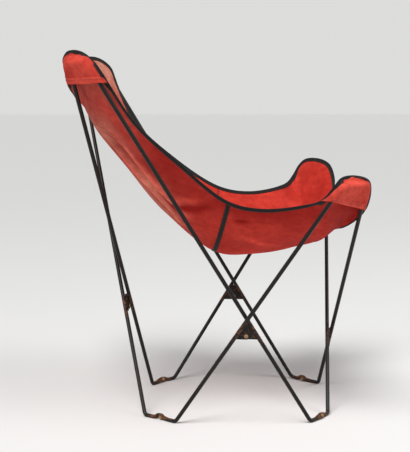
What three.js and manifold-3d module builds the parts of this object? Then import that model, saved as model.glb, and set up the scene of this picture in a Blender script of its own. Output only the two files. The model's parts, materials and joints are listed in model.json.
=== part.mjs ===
// A folding butterfly sling chair: eight bent steel rods, riveted together at four crossings and four
// foot knuckles, carry a canvas sling by the pockets that are sewn behind its four ears.
// Millimetres; +X to the front, +Y to the sitter's left, +Z up, origin on the floor under the middle.
import * as THREE from 'three';
import { mergeVertices } from 'three/addons/utils/BufferGeometryUtils.js';
import Module from 'manifold-3d';

const wasm = await Module();
wasm.setup();

// Rods
const ROD_DIAMETER = 10;
const ROD_SIDES = 12;
const EAR_BEND_RADIUS = 20;
const FOOT_BEND_RADIUS = 14;
const BEND_STEPS = 5;

// Ears: the middle of each ear's bar, the bar's length and its turn from the X axis in plan
const BACK_EAR_X = -326;
const BACK_EAR_SPREAD = 350;
const BACK_EAR_HEIGHT = 884;
const BACK_EAR_BAR = 84;
const BACK_EAR_TURN = 50;
const FRONT_EAR_X = 314;
const FRONT_EAR_HEIGHT = 599;
const FRONT_EAR_BAR = 88;
const FRONT_EAR_TURN = 45;
const EAR_END_GAP = 2.4;

// Feet: the middle of each foot's bar, the bar's length and its turn in plan
const REAR_FOOT_X = -134;
const REAR_FOOT_SPREAD = 190;
const REAR_FOOT_BAR = 94;
const REAR_FOOT_TURN = 43;
const FRONT_FOOT_X = 265;
const FRONT_FOOT_SPREAD = 192;
const FRONT_FOOT_BAR = 94;
const FRONT_FOOT_TURN = 50;
const FOOT_WEAR = 0.4;

// Foot knuckles: flattened eyes side by side on a tilted rivet
const EYE_DIAMETER = 14;
const EYE_THICKNESS = 4.5;
const EYE_LIFT = 3.7;
const EYE_NECK = 19;
const EYE_NECK_WIDTH = 8;
const TUBE_STOP = 9;
const REAR_KNUCKLE_YAW = -2.1;
const REAR_KNUCKLE_TILT = -18.2;
const FRONT_KNUCKLE_YAW = 0.6;
const FRONT_KNUCKLE_TILT = 18.4;
const KNUCKLE_RIVET_DIAMETER = 5;
const KNUCKLE_HEAD_DIAMETER = 9.5;
const KNUCKLE_HEAD_HEIGHT = 2.2;

// Crossings: a plate welded to each rod, riveted below the point where the rods cross
const PLATE_THICKNESS = 2.2;
const FRONT_PLATE_THICKNESS = 1.2;
const PLATE_GAP = 0.3;
const FRONT_RIVET_GAP = 0.6;
const RIVET_DROP = 42;
const PLATE_NECK = 10;
const PLATE_SKIRT = 9;
const CROSSING_RIVET_DIAMETER = 6;
const CROSSING_HEAD_DIAMETER = 11;
const CROSSING_HEAD_HEIGHT = 2.6;
const RIVET_SIDES = 16;
const CLEARANCE = 0.3;

// Sling cloth
const PANEL_THICKNESS = 1.6;
const POCKET_THICKNESS = 1.6;
const BINDING_WIDTH = 11;
const BINDING_THICKNESS = 3.2;
const TAPE_WIDTH = 11.5;
const TAPE_THICKNESS = 1;
const TAPE_END_GAP = 1;
const TAPE_SEAT = 0.8;
const SEAM_GAP = 0.3;
const WAIST_X = 31;
const WAIST_HALF_WIDTH = 242;
const WAIST_EDGE_HEIGHT = 552;
const SEAT_X = 112;
const SEAT_HALF_WIDTH = 240;
const SEAT_EDGE_HEIGHT = 534;
const SEAT_LOW_X = 90;
const SEAT_LOW_HEIGHT = 392;
const BACK_TOP_DIP = 94;
const BACK_TOP_SET = 7;
const FRONT_LIP_DIP = 134;
const FRONT_LIP_SET = 7;
// Places beside the sling's main ones, forward, out and up from each; on the spine forward and up
const TOP_SIDE = [-7, 110, 10];
const LIP_SIDE = [8, 110, 9];
const BACK_EDGE = [-224, 91, 195];
const WAIST_RISE = [-119, 44, 95];
const SEAT_RISE = [97, 45, 14];
const SPINE_NECK = [39, -179];
const SPINE_SHOULDERS = [-250, -266];
const SPINE_SMALL = [-155, 111];
const SPINE_WAIST = [-28, 10];
const SPINE_SEAT = [92, 12];
const SPINE_KNEES = [-59, 36];
// Curve of the sections, facets, folds and rims of the panels
const SECTION_POWER = 1.75;
const EAR_SECTION_POWER = 3;
const EAR_SECTION_REACH = 0.09;
const STEPS_PER_STATION = 3;
const PANEL_COLUMNS = 12;
const POCKET_COLUMNS = 12;
const POCKET_ROWS = 7;
const FOLD_WIDTH = 28;
const FOLD_END = 0.7;
const FOLD_END_REACH = 0.2;
const PANEL_RIM = BINDING_WIDTH / 3;
const RIM_CUT = 0.3;
const RIM_CUT_HALF = 2.6;
const MOST_RIM_SHARE = 0.1;
const POLE_STATION = 0.25;
const POLE_REACH = [1, 2.5];
// Bulge and spread of the pockets
const POCKET_BAR_POWER = 6;
const POCKET_EDGE_LIFT = 0.8;
const POCKET_ROW_SPREAD = 1.3;
const POCKET_FLATNESS = 12;
const MOST_TURNS = 120;
const BULGE_STEP = 0.5;
const POCKET_REACH = 150;
const POCKET_LEAN = 0.8;
const POCKET_TOP_WIDTH = 0.5;

const ROD_RADIUS = ROD_DIAMETER / 2;
const FOOT_HEIGHT = ROD_RADIUS - FOOT_WEAR;
const CROSSING_GAP = ROD_DIAMETER + 2 * (PLATE_THICKNESS + CLEARANCE) + PLATE_GAP;

const rodPaint = () => new THREE.MeshStandardMaterial({ color: 0x17161a, roughness: 0.5, metalness: 0.6 });
const platePaint = () => new THREE.MeshStandardMaterial({ color: 0x2a2320, roughness: 0.6, metalness: 0.6 });
const wornRivet = () => new THREE.MeshStandardMaterial({ color: 0x6b4a2e, roughness: 0.55, metalness: 0.7 });
const canvasCloth = () => new THREE.MeshStandardMaterial({ color: 0xc23a34, roughness: 0.9, metalness: 0 });
const blackTape = () => new THREE.MeshStandardMaterial({ color: 0x121212, roughness: 0.85, metalness: 0 });

const chair = new THREE.Group();
const vec = (x, y, z) => new THREE.Vector3(x, y, z);
const turned = (degrees) => THREE.MathUtils.degToRad(degrees);
const mixed = (a, b, share) => a + (b - a) * share;
// Sides: +1 is the sitter's left, -1 the right; the left side is worked out and the right mirrors it.
const onSide = (point, side) => vec(point.x, point.y * side, point.z);
const sideName = (side) => (side > 0 ? 'left' : 'right');

function add(name, geometry, material) {
  geometry.computeVertexNormals();
  const mesh = new THREE.Mesh(geometry, material);
  mesh.name = name;
  chair.add(mesh);
  return mesh;
}

// Skeleton: bar ends, outward in plan from each bar's middle
function barAlong(turn, sense) {
  return vec(sense * Math.cos(turned(turn)), Math.sin(turned(turn)), 0);
}

const rearFoot = vec(REAR_FOOT_X, REAR_FOOT_SPREAD, FOOT_HEIGHT);
const frontFoot = vec(FRONT_FOOT_X, FRONT_FOOT_SPREAD, FOOT_HEIGHT);
const backEar = vec(BACK_EAR_X, BACK_EAR_SPREAD, BACK_EAR_HEIGHT);
const rearFootAlong = barAlong(REAR_FOOT_TURN, 1);
const frontFootAlong = barAlong(FRONT_FOOT_TURN, -1);
const backEarAlong = barAlong(BACK_EAR_TURN, 1);
const frontEarAlong = barAlong(FRONT_EAR_TURN, -1);
const stepped = (from, along, length) => from.clone().addScaledVector(along, length);

const rearFootOuter = stepped(rearFoot, rearFootAlong, REAR_FOOT_BAR / 2);
const rearFootInner = stepped(rearFoot, rearFootAlong, -REAR_FOOT_BAR / 2);
const frontFootOuter = stepped(frontFoot, frontFootAlong, FRONT_FOOT_BAR / 2);
const frontFootInner = stepped(frontFoot, frontFootAlong, -FRONT_FOOT_BAR / 2);
const backEarOuter = stepped(backEar, backEarAlong, BACK_EAR_BAR / 2);
const backEarInner = stepped(backEar, backEarAlong, -BACK_EAR_BAR / 2);

// The front ears spread just far enough for the rod from the rear foot to pass outside the rod from the
// front foot with the plates between them: its plane touches a cylinder of that gap round the inner rod.
function frontEarSpread() {
  const inner = backEarOuter.clone().sub(frontFootOuter).normalize();
  const across = stepped(vec(0, 1, 0), inner, -inner.y).normalize();
  const third = new THREE.Vector3().crossVectors(inner, across);
  const reach = rearFootOuter.clone().sub(frontFootOuter);
  const a = reach.dot(across);
  const b = reach.dot(third);
  const spread = Math.acos(CROSSING_GAP / Math.hypot(a, b));
  const normals = [1, -1].map((sign) => {
    const angle = Math.atan2(b, a) + sign * spread;
    return across.clone().multiplyScalar(Math.cos(angle)).addScaledVector(third, Math.sin(angle));
  });
  const normal = normals[0].y > normals[1].y ? normals[0] : normals[1];
  const x = FRONT_EAR_X + (frontEarAlong.x * FRONT_EAR_BAR) / 2;
  const rise = normal.x * (x - rearFootOuter.x) + normal.z * (FRONT_EAR_HEIGHT - rearFootOuter.z);
  return rearFootOuter.y - rise / normal.y - (frontEarAlong.y * FRONT_EAR_BAR) / 2;
}

const frontEar = vec(FRONT_EAR_X, frontEarSpread(), FRONT_EAR_HEIGHT);
const frontEarOuter = stepped(frontEar, frontEarAlong, FRONT_EAR_BAR / 2);
const frontEarInner = stepped(frontEar, frontEarAlong, -FRONT_EAR_BAR / 2);

// The two mirrored rods of the rear or front pair stand apart by the crossing gap along the pair's normal.
function mirroredPairShift(ear, foot) {
  const one = ear.clone().sub(onSide(foot, -1));
  const other = onSide(ear, -1).sub(foot);
  const normal = new THREE.Vector3().crossVectors(one, other).normalize();
  return normal.multiplyScalar((Math.sign(normal.x) * CROSSING_GAP) / 2);
}

const rearShift = mirroredPairShift(backEarInner, rearFootInner);
const frontShift = mirroredPairShift(frontEarInner, frontFootInner);

// Knuckle hinge lines: outward from the foot's bar, turned and tilted a little for the fold
const lifted = (point) => vec(point.x, point.y, point.z + EYE_LIFT);
const knuckles = {
  rear: { centre: lifted(rearFoot), outward: vec(-rearFootAlong.y, rearFootAlong.x, 0) },
  front: { centre: lifted(frontFoot), outward: vec(frontFootAlong.y, -frontFootAlong.x, 0) },
};
const knuckleTurn = {
  rear: [REAR_KNUCKLE_YAW, REAR_KNUCKLE_TILT],
  front: [FRONT_KNUCKLE_YAW, FRONT_KNUCKLE_TILT],
};
for (const [end, [yaw, tilt]] of Object.entries(knuckleTurn)) {
  const flat = knuckles[end].outward;
  const heading = Math.atan2(flat.y, flat.x) - turned(yaw);
  const level = Math.cos(turned(tilt));
  knuckles[end].axis = vec(Math.cos(heading) * level, Math.sin(heading) * level, Math.sin(turned(tilt)));
}

// Each rod from its ear to its foot: ear middle, ear bend, foot bend, foot middle, and its knuckle eye's side
const rods = [
  { name: 'rod_back_right_to_front_right', ear: [backEar, -1],
    bends: [[backEarOuter, -1], [frontFootOuter, -1]],
    foot: [frontFoot, -1], knuckle: 'front', eye: 1 },
  { name: 'rod_front_right_to_rear_right', ear: [frontEar, -1],
    bends: [[frontEarOuter, -1], [rearFootOuter, -1]],
    foot: [rearFoot, -1], knuckle: 'rear', eye: 1 },
  { name: 'rod_back_left_to_front_left', ear: [backEar, 1], bends: [[backEarOuter, 1], [frontFootOuter, 1]],
    foot: [frontFoot, 1], knuckle: 'front', eye: 1 },
  { name: 'rod_front_left_to_rear_left', ear: [frontEar, 1], bends: [[frontEarOuter, 1], [rearFootOuter, 1]],
    foot: [rearFoot, 1], knuckle: 'rear', eye: 1 },
  { name: 'rod_back_left_to_rear_right', ear: [backEar, 1], bends: [[backEarInner, 1], [rearFootInner, -1]],
    foot: [rearFoot, -1], knuckle: 'rear', eye: -1, shift: rearShift.clone().negate() },
  { name: 'rod_back_right_to_rear_left', ear: [backEar, -1], bends: [[backEarInner, -1], [rearFootInner, 1]],
    foot: [rearFoot, 1], knuckle: 'rear', eye: -1, shift: rearShift },
  { name: 'rod_front_right_to_front_left', ear: [frontEar, -1],
    bends: [[frontEarInner, -1], [frontFootInner, 1]],
    foot: [frontFoot, 1], knuckle: 'front', eye: -1, shift: frontShift },
  { name: 'rod_front_left_to_front_right', ear: [frontEar, 1],
    bends: [[frontEarInner, 1], [frontFootInner, -1]],
    foot: [frontFoot, -1], knuckle: 'front', eye: -1, shift: frontShift.clone().negate() },
];

// A path of straight runs and round bends, stepped from station to station
class RodPath extends THREE.Curve {
  constructor(stations) {
    super();
    this.stations = stations;
  }

  getPoint(t, target = new THREE.Vector3()) {
    const last = this.stations.length - 1;
    const place = Math.min(Math.max(t, 0), 1) * last;
    const index = Math.min(Math.floor(place), last - 1);
    return target.lerpVectors(this.stations[index], this.stations[index + 1], place - index);
  }

  getUtoTmapping(u) {
    return u;
  }
}

function bend(before, corner, after, radius) {
  const incoming = corner.clone().sub(before).normalize();
  const outgoing = after.clone().sub(corner).normalize();
  const angle = incoming.angleTo(outgoing);
  const start = stepped(corner, incoming, -radius * Math.tan(angle / 2));
  const axis = new THREE.Vector3().crossVectors(incoming, outgoing).normalize();
  const centre = stepped(start, new THREE.Vector3().crossVectors(axis, incoming), radius);
  const arm = start.clone().sub(centre);
  const points = [];
  for (let step = 0; step <= BEND_STEPS; step += 1) {
    points.push(arm.clone().applyAxisAngle(axis, (angle * step) / BEND_STEPS).add(centre));
  }
  return points;
}

function solid(geometry) {
  const bare = geometry.clone();
  bare.deleteAttribute('normal');
  bare.deleteAttribute('uv');
  const merged = mergeVertices(bare, 1e-4);
  return new wasm.Manifold(new wasm.Mesh({
    numProp: 3,
    vertProperties: new Float32Array(merged.attributes.position.array),
    triVerts: new Uint32Array(merged.index.array),
  }));
}

function geometryOf(manifold) {
  const mesh = manifold.getMesh();
  const geometry = new THREE.BufferGeometry();
  geometry.setAttribute('position', new THREE.BufferAttribute(mesh.vertProperties, 3));
  geometry.setIndex(new THREE.BufferAttribute(mesh.triVerts, 1));
  return geometry;
}

// Frame whose Z lies along the given axis and whose X leans to the given direction
function frameAt(origin, axis, lean) {
  const z = axis.clone().normalize();
  const x = stepped(lean, z, -lean.dot(z)).normalize();
  return new THREE.Matrix4().makeBasis(x, new THREE.Vector3().crossVectors(z, x), z).setPosition(origin);
}

// The flattened end of a rod: a round eye with a neck that runs into the tube
function eyeSolid(rod, footMiddle, footBend) {
  const knuckle = knuckles[rod.knuckle];
  const side = rod.foot[1];
  const axis = onSide(knuckle.axis, side);
  const toTube = footBend.clone().sub(footMiddle).normalize();
  const frame = frameAt(onSide(knuckle.centre, side), axis, toTube);
  const upward = new THREE.Vector3().setFromMatrixColumn(frame, 1);
  const low = -EYE_LIFT * upward.z;
  const radius = EYE_DIAMETER / 2;
  const outline = new THREE.Shape();
  outline.moveTo(EYE_NECK, low - EYE_NECK_WIDTH / 2);
  outline.lineTo(EYE_NECK, low + EYE_NECK_WIDTH / 2);
  outline.lineTo(0, radius);
  outline.absarc(0, 0, radius, Math.PI / 2, (3 * Math.PI) / 2, false);
  outline.closePath();
  const hole = new THREE.Path();
  hole.absarc(0, 0, KNUCKLE_RIVET_DIAMETER / 2 + CLEARANCE, 0, 2 * Math.PI, true);
  outline.holes.push(hole);
  const depth = EYE_THICKNESS;
  const tongue = new THREE.ExtrudeGeometry(outline, { depth, bevelEnabled: false, curveSegments: 8 });
  tongue.translate(0, 0, rod.eye > 0 ? PLATE_GAP / 2 : -PLATE_GAP / 2 - EYE_THICKNESS);
  tongue.applyMatrix4(frame);
  return solid(tongue);
}

const FLOOR_SLAB = 40;

function makeRod(rod) {
  const shift = rod.shift || vec(0, 0, 0);
  const [earBend, footBend] = rod.bends.map(([point, side]) => onSide(point, side).add(shift));
  footBend.z = FOOT_HEIGHT;
  const earMiddle = onSide(...rod.ear);
  const footMiddle = onSide(...rod.foot);
  const start = stepped(earMiddle, earBend.clone().sub(earMiddle).normalize(), EAR_END_GAP);
  const end = stepped(footMiddle, footBend.clone().sub(footMiddle).normalize(), TUBE_STOP);
  rod.stations = [
    start,
    ...bend(start, earBend, footBend, EAR_BEND_RADIUS),
    ...bend(earBend, footBend, end, FOOT_BEND_RADIUS),
    end,
  ];
  rod.up = earBend.clone().sub(footBend).normalize();
  rod.footBend = footBend;
  const section = new THREE.Shape();
  section.absarc(0, 0, ROD_RADIUS, 0, 2 * Math.PI, false);
  const tube = new THREE.ExtrudeGeometry(section, {
    steps: rod.stations.length - 1,
    extrudePath: new RodPath(rod.stations),
    curveSegments: ROD_SIDES / 2,
    bevelEnabled: false,
  });
  const floor = new THREE.BoxGeometry(FLOOR_SLAB * 6, FLOOR_SLAB * 6, FLOOR_SLAB);
  floor.translate(footMiddle.x, footMiddle.y, -FLOOR_SLAB / 2);
  const body = solid(tube).add(eyeSolid(rod, footMiddle, footBend)).subtract(solid(floor));
  add(rod.name, geometryOf(body), rodPaint());
}

rods.forEach(makeRod);
const rodNamed = (name) => rods.find((rod) => rod.name === name);

// Rivets are turned shapes: a pin and domed heads
function domePoints(radius, base, height) {
  return [0, 1, 2, 3].map((step) => {
    const angle = (step * Math.PI) / 6;
    return new THREE.Vector2(radius * Math.cos(angle), base + height * Math.sin(angle));
  });
}

function rivetGeometry(pinDiameter, headDiameter, headHeight, grip) {
  const top = domePoints(headDiameter / 2, grip / 2, headHeight);
  top[top.length - 1].x = 0;
  const upper = [new THREE.Vector2(pinDiameter / 2, grip / 2), ...top];
  const lower = upper.map((point) => new THREE.Vector2(point.x, -point.y)).reverse();
  return new THREE.LatheGeometry([...lower, ...upper], RIVET_SIDES);
}

function halfRivetGeometry(pinDiameter, headDiameter, headHeight, from, to) {
  const top = domePoints(headDiameter / 2, to, headHeight);
  top[top.length - 1].x = 0;
  const pin = [[0, from], [pinDiameter / 2, from], [pinDiameter / 2, to]];
  const profile = [...pin.map(([x, y]) => new THREE.Vector2(x, y)), ...top];
  return new THREE.LatheGeometry(profile, RIVET_SIDES);
}

function placeAlong(mesh, centre, axis) {
  mesh.position.copy(centre);
  mesh.quaternion.setFromUnitVectors(vec(0, 1, 0), axis.clone().normalize());
}

function welded(geometry) {
  geometry.deleteAttribute('uv');
  geometry.deleteAttribute('normal');
  return mergeVertices(geometry, 1e-4);
}

for (const [end, knuckle] of Object.entries(knuckles)) {
  for (const side of [-1, 1]) {
    const grip = 2 * (EYE_THICKNESS + CLEARANCE) + PLATE_GAP;
    const geometry = rivetGeometry(KNUCKLE_RIVET_DIAMETER, KNUCKLE_HEAD_DIAMETER, KNUCKLE_HEAD_HEIGHT, grip);
    const mesh = add(`rivet_${end}_${sideName(side)}_foot`, welded(geometry), wornRivet());
    placeAlong(mesh, onSide(knuckle.centre, side), onSide(knuckle.axis, side));
  }
}

// Where two rods pass each other: the middle of the gap, the normal from the first to the second, and up
function crossingOf(first, second) {
  const a = first.up;
  const b = second.up;
  const apart = first.footBend.clone().sub(second.footBend);
  const cosine = a.dot(b);
  const scale = 1 - cosine * cosine;
  const alongFirst = (cosine * b.dot(apart) - a.dot(apart)) / scale;
  const alongSecond = (b.dot(apart) - cosine * a.dot(apart)) / scale;
  const onFirst = stepped(first.footBend, a, alongFirst);
  const onSecond = stepped(second.footBend, b, alongSecond);
  const up = a.clone().add(b).normalize();
  const normal = onSecond.clone().sub(onFirst).normalize();
  const middle = onFirst.add(onSecond).multiplyScalar(0.5);
  return { pivot: stepped(middle, up, -RIVET_DROP), normal, up };
}

// A crossing plate: one edge runs down its rod, the flat skirt and the round lobe hold the rivet
function plateShape(spread) {
  const rodAt = (height) => (RIVET_DROP - height) * Math.tan(spread);
  const top = RIVET_DROP - PLATE_NECK;
  const outline = new THREE.Shape();
  outline.moveTo(rodAt(top), top);
  outline.lineTo(-rodAt(top) / 2, top);
  outline.lineTo(-PLATE_SKIRT, 0);
  outline.absarc(0, 0, PLATE_SKIRT, Math.PI, (3 * Math.PI) / 2, false);
  outline.lineTo(rodAt(-PLATE_SKIRT), -PLATE_SKIRT);
  outline.closePath();
  const hole = new THREE.Path();
  hole.absarc(0, 0, CROSSING_RIVET_DIAMETER / 2 + CLEARANCE, 0, 2 * Math.PI, true);
  outline.holes.push(hole);
  return outline;
}

function makePlate(rod, crossing, sense, thickness) {
  const sideways = stepped(rod.up, crossing.up, -rod.up.dot(crossing.up)).negate().normalize();
  const frame = new THREE.Matrix4();
  const facing = new THREE.Vector3().crossVectors(sideways, crossing.up);
  frame.makeBasis(sideways, crossing.up, facing).setPosition(crossing.pivot);
  const outer = CROSSING_GAP / 2 - ROD_RADIUS - CLEARANCE;
  const aligned = facing.dot(crossing.normal) * sense > 0;
  const geometry = new THREE.ExtrudeGeometry(plateShape(rod.up.angleTo(crossing.up)), {
    depth: thickness,
    bevelEnabled: false,
    curveSegments: 8,
  });
  geometry.translate(0, 0, aligned ? outer - thickness : -outer);
  const mesh = add(rod.name.replace('rod', 'plate'), welded(geometry), platePaint());
  mesh.applyMatrix4(frame);
}

const crossings = [
  { name: 'rear', pair: ['rod_back_left_to_rear_right', 'rod_back_right_to_rear_left'],
    plate: PLATE_THICKNESS },
  { name: 'right', pair: ['rod_back_right_to_front_right', 'rod_front_right_to_rear_right'],
    plate: PLATE_THICKNESS },
  { name: 'left', pair: ['rod_back_left_to_front_left', 'rod_front_left_to_rear_left'],
    plate: PLATE_THICKNESS },
  { name: 'front', pair: ['rod_front_left_to_front_right', 'rod_front_right_to_front_left'],
    plate: FRONT_PLATE_THICKNESS, open: true },
];

for (const { name, pair, plate, open } of crossings) {
  const [first, second] = pair.map(rodNamed);
  const crossing = crossingOf(first, second);
  makePlate(first, crossing, -1, plate);
  makePlate(second, crossing, 1, plate);
  const seat = CROSSING_GAP / 2 - ROD_RADIUS;
  const sizes = [CROSSING_RIVET_DIAMETER, CROSSING_HEAD_DIAMETER, CROSSING_HEAD_HEIGHT];
  if (open) {
    for (const [end, sense] of [['inner', -1], ['outer', 1]]) {
      const half = halfRivetGeometry(...sizes, FRONT_RIVET_GAP / 2, seat);
      const mesh = add(`rivet_${name}_crossing_${end}`, welded(half), wornRivet());
      placeAlong(mesh, crossing.pivot, crossing.normal.clone().multiplyScalar(sense));
    }
  } else {
    const mesh = add(`rivet_${name}_crossing`, welded(rivetGeometry(...sizes, 2 * seat)), wornRivet());
    placeAlong(mesh, crossing.pivot, crossing.normal);
  }
}

// Sling: places on an ear are given beyond the bar's end, outward from the bar and above it
function earPlace(middle, along, bar) {
  const outward = vec(-along.y * Math.sign(along.x), Math.abs(along.x), 0);
  return (sense, beyond, out, above) => {
    const point = stepped(middle, along, sense * (bar / 2 + beyond));
    return stepped(point, outward, out).add(vec(0, 0, above));
  };
}

const onBackEar = earPlace(backEar, backEarAlong, BACK_EAR_BAR);
const onFrontEar = earPlace(frontEar, frontEarAlong, FRONT_EAR_BAR);

// Middles of the back and front edges, and the left edge at the waist and at the seat
const backTop = vec(BACK_EAR_X - BACK_TOP_SET, 0, BACK_EAR_HEIGHT - BACK_TOP_DIP);
const frontLip = vec(FRONT_EAR_X + FRONT_LIP_SET, 0, FRONT_EAR_HEIGHT - FRONT_LIP_DIP);
const waistEdge = vec(WAIST_X, WAIST_HALF_WIDTH, WAIST_EDGE_HEIGHT);
const seatEdge = vec(SEAT_X, SEAT_HALF_WIDTH, SEAT_EDGE_HEIGHT);
const beside = (place, offset) => place.clone().add(vec(...offset));
const onSpine = (x, height, [forward, up]) => vec(x + forward, 0, height + up);

const spine = new THREE.CatmullRomCurve3([
  backTop,
  onSpine(BACK_EAR_X, BACK_EAR_HEIGHT, SPINE_NECK),
  onSpine(WAIST_X, BACK_EAR_HEIGHT, SPINE_SHOULDERS),
  onSpine(WAIST_X, SEAT_LOW_HEIGHT, SPINE_SMALL),
  onSpine(WAIST_X, SEAT_LOW_HEIGHT, SPINE_WAIST),
  vec(SEAT_LOW_X, 0, SEAT_LOW_HEIGHT),
  onSpine(SEAT_LOW_X, SEAT_LOW_HEIGHT, SPINE_SEAT),
  onSpine(FRONT_EAR_X, SEAT_LOW_HEIGHT, SPINE_KNEES),
  frontLip,
]);
const SPINE_SPANS = 8;

// Outline of the left half from the middle of the back edge to the middle of the front edge, each place
// with its partner on the spine, counted in spine points
const outline = [
  [backTop, 0],
  [beside(backTop, TOP_SIDE), 0.1],
  [onBackEar(-1, 90, -73, -54), 0.25],
  [onBackEar(-1, 38, -27, -12), 0.4],
  [onBackEar(-1, 20, -11, 8), 0.5],
  [onBackEar(-1, 0, -9, 24), 0.65],
  [onBackEar(1, -32, -9, 23), 0.82],
  [onBackEar(1, 11, -15, -3), 1],
  [onBackEar(1, 24, -39, -42), 1.25],
  [beside(waistEdge, BACK_EDGE), 2],
  [beside(waistEdge, WAIST_RISE), 3],
  [waistEdge, 4],
  [seatEdge, 5],
  [beside(seatEdge, SEAT_RISE), 6],
  [onFrontEar(1, 7, -45, -29), 6.6],
  [onFrontEar(1, 9, -14, 0), 7],
  [onFrontEar(1, -12, -11, 18), 7.12],
  [onFrontEar(-1, -30, -11, 22), 7.3],
  [onFrontEar(-1, 18, -14, 8), 7.5],
  [onFrontEar(-1, 49, -30, -29), 7.65],
  [onFrontEar(-1, 70, -62, -75), 7.8],
  [beside(frontLip, LIP_SIDE), 7.92],
  [frontLip, 8],
];
const SPANS = outline.length - 1;
const WAIST_STATION = 11;
const BACK_EAR_STATION = 5.5;
const FRONT_EAR_STATION = 16.5;

const leftPlaces = outline.map(([place]) => place);
const rightPlaces = leftPlaces.slice(1, -1).reverse().map((place) => onSide(place, -1));
const edgeLoop = new THREE.CatmullRomCurve3([...leftPlaces, ...rightPlaces], true);
const partners = new THREE.CatmullRomCurve3(outline.map(([, count]) => spine.getPoint(count / SPINE_SPANS)));

const bump = (distance, width) => Math.exp(-((distance / width) ** 2));

function sectionPower(station) {
  const reach = EAR_SECTION_REACH * SPANS;
  const nearEar = bump(station - BACK_EAR_STATION, reach) + bump(station - FRONT_EAR_STATION, reach);
  return SECTION_POWER + (EAR_SECTION_POWER - SECTION_POWER) * Math.min(nearEar, 1);
}

// Smooth sling surface: station runs from back to front, across from -1 at the right edge to 1 at the left
function smoothPoint(station, across) {
  const edge = edgeLoop.getPoint(station / (2 * SPANS));
  const middle = partners.getPoint(station / SPANS);
  const share = Math.abs(across) ** sectionPower(station);
  return vec(mixed(middle.x, edge.x, share), edge.y * across, mixed(middle.z, edge.z, share));
}

// Outer normal, towards the underside and the back
function outerNormal(station, across) {
  const step = 1e-3;
  const from = Math.max(station - step, step);
  const to = Math.min(station + step, SPANS - step);
  const lengthwise = smoothPoint(to, across).sub(smoothPoint(from, across));
  const crosswise = smoothPoint(station, across + step).sub(smoothPoint(station, across - step));
  return crosswise.cross(lengthwise).normalize();
}

// Main folds of the hanging cloth: ridges from one place on the surface to another, with their depth
const folds = [
  { from: [6.4, 0.78], to: [10.2, 0.2], depth: -6 },
  { from: [7.3, 0.74], to: [10.6, 0.48], depth: 5 },
  { from: [10.7, 0.86], to: [11.7, 0.4], depth: -5 },
  { from: [16.2, 0.78], to: [13.2, 0.35], depth: -5 },
];
for (const fold of folds) {
  fold.line = new THREE.Line3(smoothPoint(...fold.from), smoothPoint(...fold.to));
}

function clothPoint(station, across) {
  const point = smoothPoint(station, across);
  const reference = vec(point.x, Math.abs(point.y), point.z);
  const nearest = new THREE.Vector3();
  let depth = 0;
  for (const fold of folds) {
    fold.line.closestPointToPoint(reference, true, nearest);
    depth += fold.depth * bump(reference.distanceTo(nearest), FOLD_WIDTH);
  }
  const flatRim = 1 - Math.min(Math.max((Math.abs(across) - FOLD_END) / FOLD_END_REACH, 0), 1);
  return stepped(point, outerNormal(station, across), depth * flatRim);
}

// Share of the half section that leaves a rim of the given width outside it
function acrossAtRim(station, rim) {
  const step = 1e-3;
  const edge = smoothPoint(station, 1);
  const tangent = smoothPoint(station + step, 1).sub(smoothPoint(station - step, 1)).normalize();
  const reach = edge.sub(smoothPoint(station, 1 - step)).cross(tangent).length() / step;
  return 1 - Math.min(rim / reach, MOST_RIM_SHARE);
}

// A sheet of even thickness over a grid of places and normals, closed round its rim
function sheetGeometry(rows, columns, placeAt, thickness) {
  const positions = [];
  const triangles = [];
  const width = columns + 1;
  const layer = (rows + 1) * width;
  for (const face of [0.5, -0.5]) {
    for (let row = 0; row <= rows; row += 1) {
      for (let column = 0; column <= columns; column += 1) {
        const [point, normal] = placeAt(row / rows, column / columns);
        positions.push(...stepped(point, normal, face * thickness).toArray());
      }
    }
  }
  const quad = (a, b, c, d) => triangles.push(a, b, c, a, c, d);
  for (let row = 0; row < rows; row += 1) {
    for (let column = 0; column < columns; column += 1) {
      const a = row * width + column;
      const near = [a, a + 1, a + width + 1, a + width];
      const far = [layer + a + width, layer + a + width + 1, layer + a + 1, layer + a];
      const mirrored = 2 * column >= columns;
      quad(...(mirrored ? [...near.slice(1), near[0]] : near));
      quad(...(mirrored ? far : [far[3], ...far.slice(0, 3)]));
    }
  }
  const rim = [];
  for (let column = 0; column < columns; column += 1) rim.push(column);
  for (let row = 0; row < rows; row += 1) rim.push(row * width + columns);
  for (let column = columns; column > 0; column -= 1) rim.push(rows * width + column);
  for (let row = rows; row > 0; row -= 1) rim.push(row * width);
  rim.forEach((place, index) => {
    const next = rim[(index + 1) % rim.length];
    quad(place, layer + place, layer + next, next);
  });
  return facingOut(positions, triangles);
}

// Closed triangles, turned round if they enclose a negative volume
function facingOut(positions, triangles) {
  const corner = (index) => vec(...positions.slice(3 * index, 3 * index + 3));
  let volume = 0;
  for (let i = 0; i < triangles.length; i += 3) {
    volume += corner(triangles[i]).cross(corner(triangles[i + 1])).dot(corner(triangles[i + 2]));
  }
  if (volume < 0) triangles.reverse();
  const geometry = new THREE.BufferGeometry();
  geometry.setAttribute('position', new THREE.Float32BufferAttribute(positions, 3));
  geometry.setIndex(triangles);
  return geometry;
}

// Stations either side of the waist seam
const stationLength = smoothPoint(WAIST_STATION + 0.5, 0.5).distanceTo(smoothPoint(WAIST_STATION - 0.5, 0.5));
const SEAM_SHARE = SEAM_GAP / stationLength;

function stationsBetween(from, to) {
  const count = Math.round((to - from) * STEPS_PER_STATION);
  return Array.from({ length: count + 1 }, (_, index) => mixed(from, to, index / count));
}

const backStations = stationsBetween(POLE_STATION, WAIST_STATION - SEAM_SHARE);
const seatStations = stationsBetween(WAIST_STATION + SEAM_SHARE, SPANS - POLE_STATION);

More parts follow.
